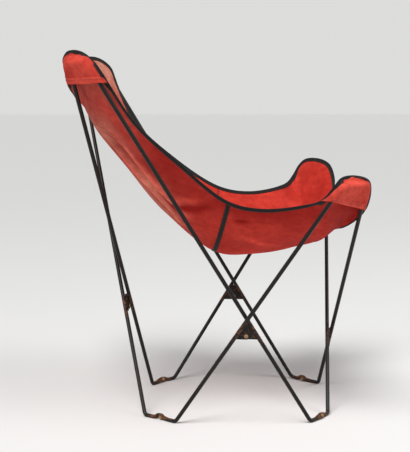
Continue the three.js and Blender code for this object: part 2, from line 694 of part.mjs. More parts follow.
// The place on the surface that lies the given distance in from the edge: square to the edge near the
// middle of the back and front edges, along the cloth's own rows round the ears and sides
function insetPlace(station, side, distance) {
  const step = 1e-3;
  const edge = smoothPoint(station, side);
  const tangent = smoothPoint(station + step, side).sub(smoothPoint(station - step, side)).normalize();
  const normal = outerNormal(station, side);
  const inward = new THREE.Vector3().crossVectors(tangent, normal).normalize();
  if (inward.dot(smoothPoint(station, side * 0.98).sub(edge)) < 0) inward.negate();
  const beyondPole = Math.min(station, SPANS - station) - POLE_REACH[0];
  const rowShare = Math.min(Math.max(beyondPole / (POLE_REACH[1] - POLE_REACH[0]), 0), 1);
  const across = side * acrossAtRim(station, distance);
  const point = stepped(edge, inward, distance).lerp(smoothPoint(station, across), rowShare);
  return { point, normal: normal.lerp(outerNormal(station, across), rowShare).normalize() };
}

// A band along the outline, right waist to left waist, between two shares of the binding's width
function bandGeometry(stations, from, to, half) {
  const places = [
    ...stations.map((station) => [station, -1]),
    ...[...stations].reverse().map((station) => [station, 1]),
  ];
  const positions = places.flatMap(([station, side]) => {
    const edge = smoothPoint(station, side);
    const inner = insetPlace(station, side, BINDING_WIDTH);
    const edgeNormal = outerNormal(station, side);
    return [[from, half], [to, half], [to, -half], [from, -half]].flatMap(([share, off]) => {
      const normal = edgeNormal.clone().lerp(inner.normal, share).normalize();
      return stepped(edge.clone().lerp(inner.point, share), normal, off).toArray();
    });
  });
  const triangles = [];
  const last = places.length - 1;
  for (let ring = 0; ring < last; ring += 1) {
    for (let corner = 0; corner < 4; corner += 1) {
      const a = 4 * ring + corner;
      const b = 4 * ring + ((corner + 1) % 4);
      if (2 * ring >= last) triangles.push(a, b, a + 4, b, b + 4, a + 4);
      else triangles.push(a, b, b + 4, a, b + 4, a + 4);
    }
  }
  const end = 4 * last;
  triangles.push(0, 2, 1, 0, 3, 2, end, end + 1, end + 2, end, end + 2, end + 3);
  return facingOut(positions, triangles);
}

// Each panel is cut back to its bound edge: the tape folded round the cloth's rim
function makePanel(name, stations, beyondWaist) {
  const last = stations.length - 1;
  const placeAt = (u, v) => {
    const station = stations[Math.round(u * last)];
    const across = (2 * v - 1) * acrossAtRim(station, PANEL_RIM);
    return [clothPoint(station, across), outerNormal(station, across)];
  };
  const sheet = solid(sheetGeometry(last, PANEL_COLUMNS, placeAt, PANEL_THICKNESS));
  const bound = [...stations].sort((a, b) => Math.abs(a - WAIST_STATION) - Math.abs(b - WAIST_STATION));
  const rim = [beyondWaist, ...bound];
  const cut = solid(bandGeometry(rim, -RIM_CUT, 1 + 2 * CLEARANCE / BINDING_WIDTH, RIM_CUT_HALF));
  const inside = sheet.subtract(cut).decompose().sort((a, b) => b.volume() - a.volume());
  add(`${name}_panel`, geometryOf(inside[0]), canvasCloth());
  add(`${name}_binding`, bandGeometry(bound, 0, 1, BINDING_THICKNESS / 2), blackTape());
}

makePanel('back', backStations, WAIST_STATION + 1 / STEPS_PER_STATION);
makePanel('seat', seatStations, WAIST_STATION - 1 / STEPS_PER_STATION);

// Waist seam tape, sewn under the seam between the two bindings, lying on the facets of both panels
const tapeShare = TAPE_WIDTH / 2 / stationLength;
const tapeRows = [
  [backStations.at(-1), backStations.at(-2)],
  [seatStations[0], seatStations[1]],
];
const tapeOff = PANEL_THICKNESS / 2 + TAPE_SEAT + TAPE_THICKNESS / 2;
const tapePlace = (u, v) => {
  const [near, far] = v < 0.5 ? tapeRows[0] : tapeRows[1];
  const [first, second] = [near, far].map((station) => {
    const most = acrossAtRim(station, BINDING_WIDTH + TAPE_END_GAP);
    const across = (2 * u - 1) * acrossAtRim(station, PANEL_RIM);
    return [station, Math.min(Math.max(across, -most), most)];
  });
  const share = v === 0.5 ? 0 : tapeShare / Math.abs(far - near);
  const point = clothPoint(...first).lerp(clothPoint(...second), share);
  const normal = outerNormal(...first);
  return [stepped(point, normal, tapeOff), normal];
};
add('waist_seam_tape', sheetGeometry(PANEL_COLUMNS, 2, tapePlace, TAPE_THICKNESS), blackTape());

// Pockets: patches sewn outside each ear, open at the hem, bulging round the ear's bar and legs
const pockets = [
  { name: 'back', ear: backEar, along: backEarAlong, top: BACK_EAR_STATION + 0.1, inner: 2.1, outer: 8.05 },
  { name: 'front', ear: frontEar, along: frontEarAlong, top: FRONT_EAR_STATION, inner: 19.5, outer: 13.7 },
];
const pocketOff = BINDING_THICKNESS / 2 + CLEARANCE + POCKET_EDGE_LIFT + POCKET_THICKNESS / 2;

function pocketPoint(pocket, side, share, column, bulge) {
  const row = Math.sign(share) * Math.abs(share) ** POCKET_ROW_SPREAD;
  const sense = Math.sign(pocket.inner - pocket.top);
  const place = (end, start) => {
    const station = mixed(start, end, row);
    return stepped(smoothPoint(station, side), outerNormal(station, side), pocketOff);
  };
  const inner = place(pocket.inner, pocket.top + sense * POCKET_TOP_WIDTH);
  const outer = place(pocket.outer, pocket.top - sense * POCKET_TOP_WIDTH);
  const outward = onSide(vec(-pocket.along.y * Math.sign(pocket.along.x), Math.abs(pocket.along.x), 0), side);
  const full = 1 - Math.abs(2 * column - 1) ** POCKET_FLATNESS;
  const depth = bulge.bar * (1 - (1 - row) ** POCKET_BAR_POWER) + bulge.hem * row;
  const lean = POCKET_LEAN * Math.max(2 * column - 1, 0);
  const swell = stepped(outward, onSide(pocket.along, side), lean).normalize();
  return stepped(inner.lerp(outer, column), swell, depth * full);
}

// Least distances from the pocket's facets to the middle lines of the rods, round the bar and at the hem
function pocketClearance(pocket, side, bulge) {
  const fine = 4;
  const least = { bar: Infinity, hem: Infinity };
  const nearest = new THREE.Vector3();
  const runs = rods.flatMap(({ stations }) => (
    stations.slice(1).map((to, index) => new THREE.Line3(stations[index], to))
  ));
  const close = runs.filter((run) => {
    const ear = onSide(pocket.ear, side);
    return run.closestPointToPoint(ear, true, nearest).distanceTo(ear) < POCKET_REACH;
  });
  const grid = (row, column) => pocketPoint(pocket, side, row / POCKET_ROWS, column / POCKET_COLUMNS, bulge);
  for (let row = 0; row < POCKET_ROWS; row += 1) {
    const zone = row < POCKET_ROWS / 2 ? 'bar' : 'hem';
    for (let column = 0; column < POCKET_COLUMNS; column += 1) {
      const low = [grid(row, column), grid(row, column + 1)];
      const high = [grid(row + 1, column), grid(row + 1, column + 1)];
      for (let part = 0; part < (fine + 1) * (fine + 1); part += 1) {
        const u = (part % (fine + 1)) / fine;
        const v = Math.floor(part / (fine + 1)) / fine;
        const point = low[0].clone().lerp(low[1], u).lerp(high[0].clone().lerp(high[1], u), v);
        for (const run of close) {
          const gap = run.closestPointToPoint(point, true, nearest).distanceTo(point);
          least[zone] = Math.min(least[zone], gap);
        }
      }
    }
  }
  return least;
}

// The bulges that just lay the pocket against the rods
function fittedBulge(pocket) {
  const wanted = ROD_RADIUS + CLEARANCE + POCKET_THICKNESS / 2;
  const bulge = { bar: 0, hem: 0 };
  for (let turn = 0; turn < MOST_TURNS; turn += 1) {
    const gaps = [-1, 1].map((side) => pocketClearance(pocket, side, bulge));
    const tight = ['bar', 'hem'].filter((zone) => gaps.some((gap) => gap[zone] < wanted));
    if (tight.length === 0) break;
    for (const zone of tight) bulge[zone] += BULGE_STEP;
  }
  return bulge;
}

for (const pocket of pockets) {
  const bulge = fittedBulge(pocket);
  for (const side of [-1, 1]) {
    const placeAt = (u, v) => {
      const step = 1e-3;
      const at = (row, column) => pocketPoint(pocket, side, row, column, bulge);
      const down = at(u + step, v).sub(at(u - step, v));
      const along = at(u, v + step).sub(at(u, v - step));
      return [at(u, v), down.cross(along).normalize()];
    };
    const geometry = sheetGeometry(POCKET_ROWS, POCKET_COLUMNS, placeAt, POCKET_THICKNESS);
    add(`pocket_${pocket.name}_${sideName(side)}`, geometry, canvasCloth());
  }
}

export default chair;
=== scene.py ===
"""Looks of a folding butterfly sling chair: bent black rods, riveted crossings and a faded canvas sling."""
import functools
import json
import math

import bpy
import numpy as np
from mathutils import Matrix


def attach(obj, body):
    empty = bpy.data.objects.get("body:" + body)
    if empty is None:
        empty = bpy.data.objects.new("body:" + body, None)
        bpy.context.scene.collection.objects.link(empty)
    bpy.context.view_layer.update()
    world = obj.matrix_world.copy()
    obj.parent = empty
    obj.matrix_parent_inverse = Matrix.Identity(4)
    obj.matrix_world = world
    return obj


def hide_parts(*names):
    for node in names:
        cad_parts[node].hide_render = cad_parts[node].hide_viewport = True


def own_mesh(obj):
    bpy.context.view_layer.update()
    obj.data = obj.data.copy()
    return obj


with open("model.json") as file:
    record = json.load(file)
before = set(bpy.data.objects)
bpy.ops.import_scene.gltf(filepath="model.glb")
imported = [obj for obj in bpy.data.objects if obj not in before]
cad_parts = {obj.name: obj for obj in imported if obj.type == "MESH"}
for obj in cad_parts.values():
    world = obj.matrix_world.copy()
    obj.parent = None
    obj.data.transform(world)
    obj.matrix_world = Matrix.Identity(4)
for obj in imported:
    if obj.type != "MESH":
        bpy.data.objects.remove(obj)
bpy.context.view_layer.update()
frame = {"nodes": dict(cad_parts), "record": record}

bl_info = {
    "name": "Folding sling chair",
    "version": (1, 0, 0),
    "blender": (4, 5, 0),
    "location": "View3D > Sidebar > Sling chair",
    "description": "Builds the looks of a folding rod chair with a canvas sling around its packed frame",
    "category": "Object",
}

MM = 0.001
SIDES = {"left": 1, "right": -1}
NODE_BODY = {n: b for b, members in frame["record"]["behaviour"]["bodies"].items() for n in members}

# Skeleton of the frame: the middle, length and turn in plan of each ear bar and foot bar, on the left side
ROD_RADIUS = 5 * MM
EAR_BEND = 20 * MM
FOOT_BEND = 14 * MM
EAR_END_GAP = 2.4 * MM
FOOT_HEIGHT = 4.6 * MM
BARS = {
    "back_ear": ((-0.326, 0.350, 0.884), 0.084, 50, 1),
    "front_ear": ((0.314, 0.34322, 0.599), 0.088, 45, -1),
    "rear_foot": ((-0.134, 0.190, FOOT_HEIGHT), 0.094, 43, 1),
    "front_foot": ((0.265, 0.192, FOOT_HEIGHT), 0.094, 50, -1),
}
CROSSING_GAP = 15.3 * MM
EYE_LIFT = 3.7 * MM
EYE_RADIUS = 7 * MM
EYE_THICKNESS = 4.5 * MM
EYE_PLAY = 0.3 * MM
FLATTENED_FROM = 24 * MM
FLATTENED_TO = 10 * MM
KNUCKLE_TURNS = {"rear_foot": (-2.1, -18.2), "front_foot": (0.6, 18.4)}
RIVET_DROP = 42 * MM
PLATE_NECK = 10 * MM
PLATE_SKIRT = 9 * MM
PLATE_CLEARANCE = 0.3 * MM
PLATES = {"rear": 2.2 * MM, "right": 2.2 * MM, "left": 2.2 * MM, "front": 1.2 * MM}

# Each rod: ear and its side, foot and its side, which bar ends it leaves from, its eye's side and its shift
RODS = {
    "back_right_to_front_right": ("back_ear", -1, "front_foot", -1, 1, 1, 0),
    "front_right_to_rear_right": ("front_ear", -1, "rear_foot", -1, 1, 1, 0),
    "back_left_to_front_left": ("back_ear", 1, "front_foot", 1, 1, 1, 0),
    "front_left_to_rear_left": ("front_ear", 1, "rear_foot", 1, 1, 1, 0),
    "back_left_to_rear_right": ("back_ear", 1, "rear_foot", -1, -1, -1, -1),
    "back_right_to_rear_left": ("back_ear", -1, "rear_foot", 1, -1, -1, 1),
    "front_right_to_front_left": ("front_ear", -1, "front_foot", 1, -1, -1, 1),
    "front_left_to_front_right": ("front_ear", 1, "front_foot", -1, -1, -1, -1),
}
CROSSINGS = {
    "rear": ("back_left_to_rear_right", "back_right_to_rear_left"),
    "right": ("back_right_to_front_right", "front_right_to_rear_right"),
    "left": ("back_left_to_front_left", "front_left_to_rear_left"),
    "front": ("front_left_to_front_right", "front_right_to_front_left"),
}

# Sling: the left edge at the waist and at the seat, and the middle of the back's top, of the front lip and of
# the seat's low in x and z
WAIST = (0.031, 0.242, 0.552)
SEAT_EDGE = (0.112, 0.240, 0.534)
BACK_TOP = (-0.333, 0.790)
FRONT_LIP = (0.321, 0.465)
LOW = (0.090, 0.392)

# Offsets of outline points from the places above, and of spine points in x and z
TOP_SIDE = (-0.007, 0.110, 0.010)
LIP_SIDE = (0.008, 0.110, 0.009)
BACK_EDGE = (-0.224, 0.091, 0.195)
WAIST_RISE = (-0.119, 0.044, 0.095)
SEAT_RISE = (0.097, 0.045, 0.014)
SPINE_NECK = (0.046, -0.085)
SPINE_SHOULDERS = (-0.250, -0.172)
SPINE_SMALL = (-0.155, 0.111)
SPINE_WAIST = (-0.028, 0.010)
SPINE_SEAT = (0.092, 0.012)
SPINE_KNEES = (-0.066, 0.036)

# Stations count the spans of the outline. Each pocket has its bar, its top, inner and outer station and its
# room round the rods
SPANS = 22
WAIST_STATION = 11.0
BACK_EAR_STATION = 5.5
FRONT_EAR_STATION = 16.5
SECTION_POWER = 1.75
EAR_SECTION_POWER = 3.0
EAR_SECTION_REACH = 1.98
TAPE_WIDTH = 11 * MM
POLE_REACH = (1.0, 2.5)
MOST_RIM_SHARE = 0.1
POCKETS = {
    "back": ("back_ear", 5.6, 2.1, 8.05, 8.0 * MM),
    "front": ("front_ear", 16.5, 19.9, 13.8, 1.6 * MM),
}
POCKET_TOP_WIDTH = 0.5
POCKET_ROW_SPREAD = 1.3
POCKET_ROWS = 64
POCKET_COLUMNS = 72
PATCH_OFF = 1.3 * MM
LAP_CHANGE = 0.75
LAP_WIDTH = {"back": 0.72, "front": 0.9}

# Folds and creases, through (station, across) places, with depth and width in millimetres; a fold lies on
# both halves, and a crease's side says which half it lies on
FOLDS = (
    (((6.4, 0.78), (10.2, 0.2)), -6, 28),
    (((7.3, 0.74), (10.6, 0.48)), 5, 28),
    (((10.7, 0.86), (11.7, 0.4)), -5, 28),
    (((16.2, 0.78), (13.2, 0.35)), -5, 28),
)
CREASES = (
    (((6.2, 0.6), (8.5, 0.58), (9.5, 0.6), (10.6, 0.54)), 8.0, 17, -1),
    (((6.3, 0.5), (8.6, 0.49), (9.5, 0.51), (10.5, 0.45)), -9.0, 14, -1),
    (((7.2, 0.42), (9.1, 0.38), (10.5, 0.26)), 7.0, 15, -1),
    (((7.5, 0.32), (9.3, 0.29), (10.6, 0.17)), -8.0, 13, -1),
    (((9.9, 0.42), (10.45, 0.7), (10.85, 0.93)), -6.5, 10, -1),
    (((10.0, 0.56), (10.3, 0.74), (10.6, 0.88)), 4.2, 9, -1),
    (((11.15, 0.82), (11.8, 0.84)), -4.0, 8, -1),
    (((10.05, 0.24), (10.5, 0.37)), 4.6, 9, -1),
    (((11.3, 0.66), (12.3, 0.5), (13.0, 0.36)), 2.6, 10, -1),
    (((6.2, 0.66), (8.6, 0.62), (10.6, 0.48)), 4.6, 17, 1),
    (((6.4, 0.56), (8.8, 0.51), (10.7, 0.36)), -4.2, 15, 1),
    (((7.8, 0.38), (9.6, 0.3), (10.8, 0.17)), 3.4, 14, 1),
    (((10.3, 0.62), (10.7, 0.84)), -3.0, 9, 1),
    (((11.2, 0.8), (12.4, 0.36)), 2.4, 9, 1),
    (((5.2, 0.74), (3.4, 0.3)), 2.6, 11, 1),
    (((5.4, 0.7), (2.6, 0.42)), -2.2, 12, -1),
    (((15.6, 0.8), (13.3, 0.56)), 2.4, 9, -1),
    (((15.4, 0.84), (12.6, 0.62)), -0.7, 9, 1),
    (((17.2, 0.76), (19.2, 0.3)), 2.0, 11, 1),
    (((17.4, 0.72), (19.6, 0.4)), -2.0, 11, -1),
)
CREASE_FADE = 0.4
# A crease this high gives a full step of painted crease shading and ridge highlight in the canvas colour
CREASE_SCALE = 5 * MM
FOLD_END = 0.7
FOLD_END_REACH = 0.2
SPINE_ROUNDING = 0.08

# The canvas hangs unevenly: how far each front ear's inner end stands out, and how far each edge of the back
# sags down and backwards, in millimetres
EAR_REACH = {1: -3, -1: 8}
RIM_SAG = {1: 17, -1: 0}

# Sheets: the length that an ear's slope adds, and the share of its width that each part keeps when the frame
# is folded
EAR_SLOPE = 0.06
FOLD_KEEP = {"back": 0.19, "seat": 0.35}

# Waves of the slack canvas in radians per metre along x, y and z, and puckers along its sewn edges in radians
# per station
WAVE_HEIGHT = 1.1 * MM
SLOW_WAVES = (((21, 13, 0), 1.3), ((0, -9, 17), 0.4))
QUICK_WAVE = (47, -38, 29)
QUICK_SHARE = 0.6
SLACK_FROM = 12 * MM
SLACK_REACH = 30 * MM
PUCKER_RATE = 47
PUCKER_SWING = (1.9, 7.3)
PUCKER_BEAT = (5.1, 1)
PUCKER_SHARES = (0.6, 0.4)
PUCKER_FROM = 6 * MM
PUCKER_RISE = 8 * MM
PUCKER_FALL = 22 * MM

# Fading and wear: bells on the back at (station, across, amount), the share of painted highlight on the
# crease ridges, paleness round the ears that is partly sun fading and partly a painted highlight, and the
# sitter's wear with its reach along and across; each pair of wear is a least value and what is added to it
FADED_SPOTS = ((7.6, 0.45, 0.6), (8.4, 0.42, 0.8), (9.5, 0.45, 1.0), (9.9, 0.2, 0.8))
FADED_REACH = 0.075
RIDGE_HIGHLIGHT = 0.9
SUN_AND_HIGHLIGHT_REACH = 0.13
SITTER_STATION = 12.5
SITTER_REACH = (4.5, 0.8)
CANVAS_WEAR = (0.15, 0.45)
POCKET_WEAR = (0.3, 0.4)
POCKET_FADING = 0.22
HEM_WEAR = 0.6
HEM_FADING = 0.25
PAINT_WEAR_REACH = 0.055
ROD_WEAR = (0.15, 0.5)
PLATE_WEAR = 0.45
WELD_WEAR = 0.4

# Small forms of the rods, plates, welds and rivets
LEAST_FOOT_RUN = 2 * MM
TIP_TURN = 86
EYE_SQUARENESS = 4
FAR_FROM_EYE = 1.0
PLATE_EDGE_INSET = 0.5 * MM
PLATE_EDGE_DEPTH = 0.4 * MM
WELD_TOP_GAP = 3 * MM
WELD_END_GAP = 2 * MM
WELD_OFF = 0.9 * MM
WELD_BESIDE = 3.2 * MM
WELD_RIPPLE = 0.16
WELD_RIPPLE_LENGTH = 1.1 * MM
WELD_END_POWER = 6
WELD_LEAST = 0.2 * MM
HEAD_RIM = 0.98
HEAD_FOOT = ((0.985, 0.05 * MM), (0.96, 0))
DOME_FROM = 3
DOME_EDGE = 0.15 * MM
PIN_LEAST = 0.2 * MM
PIN_MOST = 0.8
PIN_REACH = 0.1 * MM
PIN_TIP = 0.2
ANY_WAY = (0.3, 0.5, 0.81)

# Sections of the sewn pieces: share of the width and height there, in half thicknesses for the edge tape and
# in millimetres for the others; a stitch has its radius along its length
TAPE_PROFILE = ((1.0, 0.45), (0.985, 0.96), (0.66, 1.0), (0.33, 1.0), (0.06, 1.0))
TAPE_FOLD_BULGE = 0.16
WAIST_PROFILE = (
    (-1, 1.1), (-0.97, 1.75), (-0.5, 1.85), (0, 1.9), (0.5, 1.85),
    (0.97, 1.75), (1, 1.1), (0.97, 0.7), (0, 0.7), (-0.97, 0.7),
)
WAIST_TAPE_SHARE = 0.52
WAIST_TAPE_GAP = 12 * MM
WAIST_STITCH_PLACE = 0.7
WAIST_STITCH_LIFTS = (1.85 * MM, -0.75 * MM)
HEM_PROFILE = (
    (0.0, 0.7), (0.03, 1.2), (0.3, 1.35), (0.7, 1.35), (0.98, 1.3), (1.04, 0.7),
    (1.04, -0.7), (0.98, -1.3), (0.7, -1.35), (0.3, -1.35), (0.03, -1.2),
)
HEM_ROW = -7
HEM_NORMAL_ROW = -4
HEM_END = 0.3
HEM_END_REACH = 0.12
HEM_SIZE = (0.3, 0.02)
STITCH_PROFILE = ((0.0, 0.12), (0.2, 0.36), (0.5, 0.42), (0.8, 0.36), (1.0, 0.12))
STITCH_PLACE = 0.8
POCKET_STITCH_ROW = -5
POCKET_STITCH_LIFT = 1.7 * MM
POCKET_SLACK = 1.2 * MM
POCKET_WAVES = ((9, 3), (7, 0.7))
POCKET_SLACK_FROM = 0.3

# Fineness of the surfaces, and small steps, rows and shares used in drawing them
DIFFERENCE = 1e-3
PANEL_ROWS = {"back": 190, "seat": 170}
PANEL_COLUMNS = 150
PANEL_RIM = 2.5 * MM
PANEL_END = 0.04
POLE_GAP = 0.02
STATION_LENGTH = 0.11
SEAM_HALF = 0.4 * MM / STATION_LENGTH
JUST_INSIDE = 0.98
ROD_SIDES = 24
BEND_STEPS = 12
STRAIGHT_STEPS = 42
NECK_STEPS = 16
TIP_STEPS = 9
LOBE_STEPS = 12
WELD_SIDES = 14
WELD_STEPS = 40
RIVET_SIDES = 32
DOME_STEPS = 10
THREAD_SIDES = 6
TAPE_STEPS = 320
TAPE_FOLD_STEPS = 9
SEWING_STEPS = 900
WAIST_STEPS = 160
WAIST_BESIDE = 0.05
POCKET_ROD_REACH = 0.14
POCKET_ROD_STEPS = 90
POCKET_BEND_STEPS = 24
POCKET_BAR_STEPS = 20
POCKET_EVENING = 10
EVENING_SHARE = 0.5
POCKET_RIM_POWER = 8
LEG_COLUMN = 4
LEG_ROW = 6
NORMAL_COLUMN = 2
NORMAL_ROW = 3
LAP_EVENING = 26
LAP_BESIDE = 0.3
LAP_START = 0.4

# The wave texture turns by so many radians per unit of length at scale 1
WAVE_TEXTURE_RATE = 20

# Camera where the photograph was taken from, with turns in degrees and a lens in millimetres, and lamps round
# the chair
CAMERA_PLACE = (-0.1175, -3.102, 0.8342)
CAMERA_TURN = (83.223, 0, -1.81)
CAMERA_LENS = 95.146
SENSOR_WIDTH = 36
LAMP_AIM = (0, 0, 0.45)
KEY_PLACE = (-0.9, -1.9, 3.8)
KEY_SPREAD = math.radians(30)
FILL_PLACE = (-2.4, -2.6, 2.2)
FILL_SIZE = 1.6
FRONT_PLACE = (2.6, -1.2, 3.0)
FRONT_SIZE = 1.8
FLOOR_REACH = 30.0
BACKGROUND_STRENGTH = 0.9


def prop_colour(name, description, default):
    """A colour property with the given default."""
    return bpy.props.FloatVectorProperty(
        name=name, description=description, default=default, size=3, min=0, max=1, subtype="COLOR"
    )


def prop_length(name, description, default):
    """A length property in metres."""
    return bpy.props.FloatProperty(
        name=name, description=description, default=default, min=0, precision=5,
        unit="LENGTH", subtype="DISTANCE",
    )


def prop_share(name, description, default):
    """A share from 0 to 1."""
    return bpy.props.FloatProperty(
        name=name, description=description, default=default, min=0, max=1, subtype="FACTOR"
    )


def prop_strength(name, description, default, measure="NONE"):
    """A strength or a power of light, from 0 up."""
    return bpy.props.FloatProperty(name=name, description=description, default=default, min=0, unit=measure)


class ClothSettings(bpy.types.PropertyGroup):
    """Sizes and colours of the canvas, the tapes and the thread."""

    canvas_thickness: prop_length("Canvas thickness", "Thickness of the cotton canvas", 1.2 * MM)
    weave_pitch: prop_length("Weave pitch", "Distance between two threads of the canvas", 1.1 * MM)
    crease_height: prop_share("Creasing", "Share of the full depth of the small creases", 1.0)
    pucker_height: prop_length("Puckers", "Height of the puckers along the sewn edges", 0.7 * MM)
    tape_thickness: prop_length("Tape thickness", "Half thickness of the bound edge", 1.5 * MM)
    stitch_length: prop_length("Stitch length", "Length of one stitch", 2.8 * MM)
    stitch_pitch: prop_length("Stitch pitch", "Distance from one stitch to the next", 3.9 * MM)
    canvas_colour: prop_colour("Canvas", "Colour of canvas away from the sun", (0.31, 0.0065, 0.004))
    worn_colour: prop_colour("Worn canvas", "Colour of the canvas where it is used most", (0.86, 0.08, 0.052))
    faded_colour: prop_colour("Faded canvas", "Colour of canvas bleached by the sun", (0.72, 0.30, 0.21))
    tape_colour: prop_colour("Tape", "Colour of the woven edge tape", (0.004, 0.004, 0.004))
    thread_colour: prop_colour("Thread", "Colour of the sewing thread", (0.03, 0.03, 0.032))


class FrameSettings(bpy.types.PropertyGroup):
    """Finishes of the rods, plates and rivets."""

    paint_colour: prop_colour("Paint", "Colour of the rods' paint", (0.006, 0.004, 0.0034))
    rust_colour: prop_colour("Rust", "Colour of the rust at the hinges", (0.13, 0.05, 0.022))
    rivet_colour: prop_colour("Rivet", "Colour of the worn rivet heads", (0.38, 0.27, 0.15))
    wear: prop_share("Wear", "How far the paint has worn off at the hinges and feet", 0.55)
    weld_radius: prop_length("Weld", "Radius of the weld between plate and rod", 1.7 * MM)


class StageSettings(bpy.types.PropertyGroup):
    """Floor, light and camera."""

    floor_colour: prop_colour("Floor", "Colour of the plain floor", (0.80, 0.80, 0.79))
    sky_strength: prop_strength("Sky", "Strength of the even light from all round", 0.12)
    key_strength: prop_strength("Key", "Strength of the soft light from above", 2.6)
    fill_power: prop_strength("Fill", "Power of the soft lamp at the back", 34, "POWER")
    front_power: prop_strength("Front", "Power of the soft lamp in front", 55, "POWER")


def unit(vectors):
    """Vectors divided by their lengths."""
    vectors = np.asarray(vectors, float)
    return vectors / np.maximum(np.linalg.norm(vectors, axis=-1, keepdims=True), 1e-12)


def full_turn(count):
    """Even angles once round."""
    return np.linspace(0, 2 * np.pi, count, endpoint=False)


def circle(first, second, count):
    """Points cos(a) first + sin(a) second at even angles once round."""
    turn = full_turn(count)[:, None]
    return np.cos(turn) * first + np.sin(turn) * second


def bell(distance, reach):
    """The bell exp(-(distance / reach)^2)."""
    return np.exp(-((distance / reach) ** 2))


def lengths_along(points, axis=0):
    """Distance of each point of a line or a grid from the first one, along that axis."""
    steps = np.linalg.norm(np.diff(points, axis=axis), axis=-1)
    return np.insert(np.cumsum(steps, axis=axis), 0, 0, axis=axis)


def along_line(places, run, values):
    """Rows of values at places between those of a run, mixed evenly from one to the next."""
    return np.stack([np.interp(places, run, column) for column in values.T], 1)


def grid_uv(across, along):
    """UV map of a grid, in metres, from places across its rows and along them."""
    return np.stack(np.broadcast_arrays(across, along), -1)


def smooth_step(t):
    """0 below 0, 1 above 1 and the cubic 3t^2 - 2t^3 between."""
    t = np.clip(t, 0, 1)
    return t * t * (3 - 2 * t)


def mirrored(point, side):
    """The point on the left side, or its mirror image on the right."""
    return np.asarray(point, float) * (1, side, 1)


def catmull(points, places, closed=False):
    """Centripetal Catmull-Rom curve: on each span the cubic through its two points whose tangents come
    from knots spaced by the square root of the chords; places count the spans from the first point."""
    points = np.asarray(points, float)
    count = len(points)
    places = np.asarray(places, float)
    if closed:
        index = np.floor(places).astype(int) % count
        weight = (places - np.floor(places))[..., None]
        corners = [points[(index + k) % count] for k in (-1, 0, 1, 2)]
    else:
        ends = np.vstack([2 * points[0] - points[1], points, 2 * points[-1] - points[-2]])
        index = np.clip(np.floor(places).astype(int), 0, count - 2)
        weight = (places - index)[..., None]
        corners = [ends[index + k] for k in range(4)]
    p0, p1, p2, p3 = corners
    chords = (p1 - p0, p2 - p1, p3 - p2)
    d0, d1, d2 = [np.maximum(np.sum(chord**2, -1) ** 0.25, 1e-6)[..., None] for chord in chords]
    t1 = ((p1 - p0) / d0 - (p2 - p0) / (d0 + d1) + (p2 - p1) / d1) * d1
    t2 = ((p2 - p1) / d1 - (p3 - p1) / (d1 + d2) + (p3 - p2) / d2) * d1
    cubic = (2 * p1 - 2 * p2 + t1 + t2) * weight + (-3 * p1 + 3 * p2 - 2 * t1 - t2)
    return p1 + t1 * weight + cubic * weight**2


def bar_ends(bar):
    """Middle, direction along and outer and inner end of a left ear or foot bar."""
    middle, length, turn, sense = BARS[bar]
    middle = np.array(middle)
    along = np.array([sense * math.cos(math.radians(turn)), math.sin(math.radians(turn)), 0])
    return middle, along, middle + along * length / 2, middle - along * length / 2


def pair_shift(ear, foot):
    """Half the gap between the two mirrored rods of a pair, along the normal of their two directions."""
    high = bar_ends(ear)[3]
    low = bar_ends(foot)[3]
    normal = unit(np.cross(high - mirrored(low, -1), mirrored(high, -1) - low))
    return normal * np.sign(normal[0]) * CROSSING_GAP / 2


def knuckle(foot, side):
    """Centre and axis of a foot's rivet: outward from the bar, turned in plan and tilted."""
    middle, along = bar_ends(foot)[:2]
    yaw, tilt = KNUCKLE_TURNS[foot]
    sense = BARS[foot][3]
    heading = math.atan2(along[0] * sense, -along[1] * sense) - math.radians(yaw)
    level = math.cos(math.radians(tilt))
    axis = np.array([math.cos(heading) * level, math.sin(heading) * level, math.sin(math.radians(tilt))])
    return mirrored(middle + (0, 0, EYE_LIFT), side), mirrored(axis, side)


def rod_corners(name):
    """Ear middle, ear bend, foot bend and foot middle of a rod, on the lines that the bends round off."""
    ear, ear_side, foot, foot_side, end, _, shift = RODS[name]
    ear_bar = bar_ends(ear)
    foot_bar = bar_ends(foot)
    choice = 2 if end > 0 else 3
    off = pair_shift(ear, foot) * shift if shift else np.zeros(3)
    ear_bend = mirrored(ear_bar[choice], ear_side) + off
    foot_bend = mirrored(foot_bar[choice], foot_side) + off
    foot_bend[2] = FOOT_HEIGHT
    return mirrored(ear_bar[0], ear_side), ear_bend, foot_bend, mirrored(foot_bar[0], foot_side)


def arc(before, corner, after, radius, steps):
    """Points of the round bend that touches both lines of a corner: start point turned about the bend's
    centre by even shares of the angle between the lines."""
    incoming = unit(corner - before)
    outgoing = unit(after - corner)
    angle = math.acos(np.clip(incoming @ outgoing, -1, 1))
    axis = unit(np.cross(incoming, outgoing))
    start = corner - incoming * radius * math.tan(angle / 2)
    inward = np.cross(axis, incoming)
    turn = np.linspace(0, angle, steps)[:, None]
    return start + radius * (np.sin(turn) * incoming + (1 - np.cos(turn)) * inward)


def flattening(stops):
    """Share by which a rod is flattened at distances from its eye's centre."""
    return smooth_step((FLATTENED_FROM - stops) / (FLATTENED_FROM - FLATTENED_TO))


def crossing(name):
    """Rivet place, normal from the first rod to the second, and up, where two rods pass each other."""
    first, second = [rod_corners(rod) for rod in CROSSINGS[name]]
    a, b = unit(first[1] - first[2]), unit(second[1] - second[2])
    apart = first[2] - second[2]
    cosine = a @ b
    scale = 1 - cosine * cosine
    on_first = first[2] + a * (cosine * (b @ apart) - a @ apart) / scale
    on_second = second[2] + b * (b @ apart - cosine * (a @ apart)) / scale
    up = unit(a + b)
    return (on_first + on_second) / 2 - up * RIVET_DROP, unit(on_second - on_first), up


def ear_place(bar, sense, beyond, out, above):
    """A place on an ear, in millimetres beyond the bar's end, outward from the bar and above it."""
    middle, along = bar_ends(bar)[:2]
    outward = np.array([-along[1] * np.sign(along[0]), abs(along[0]), 0])
    reach = sense * (BARS[bar][1] / 2 + beyond * MM)
    return middle + along * reach + outward * out * MM + (0, 0, above * MM)


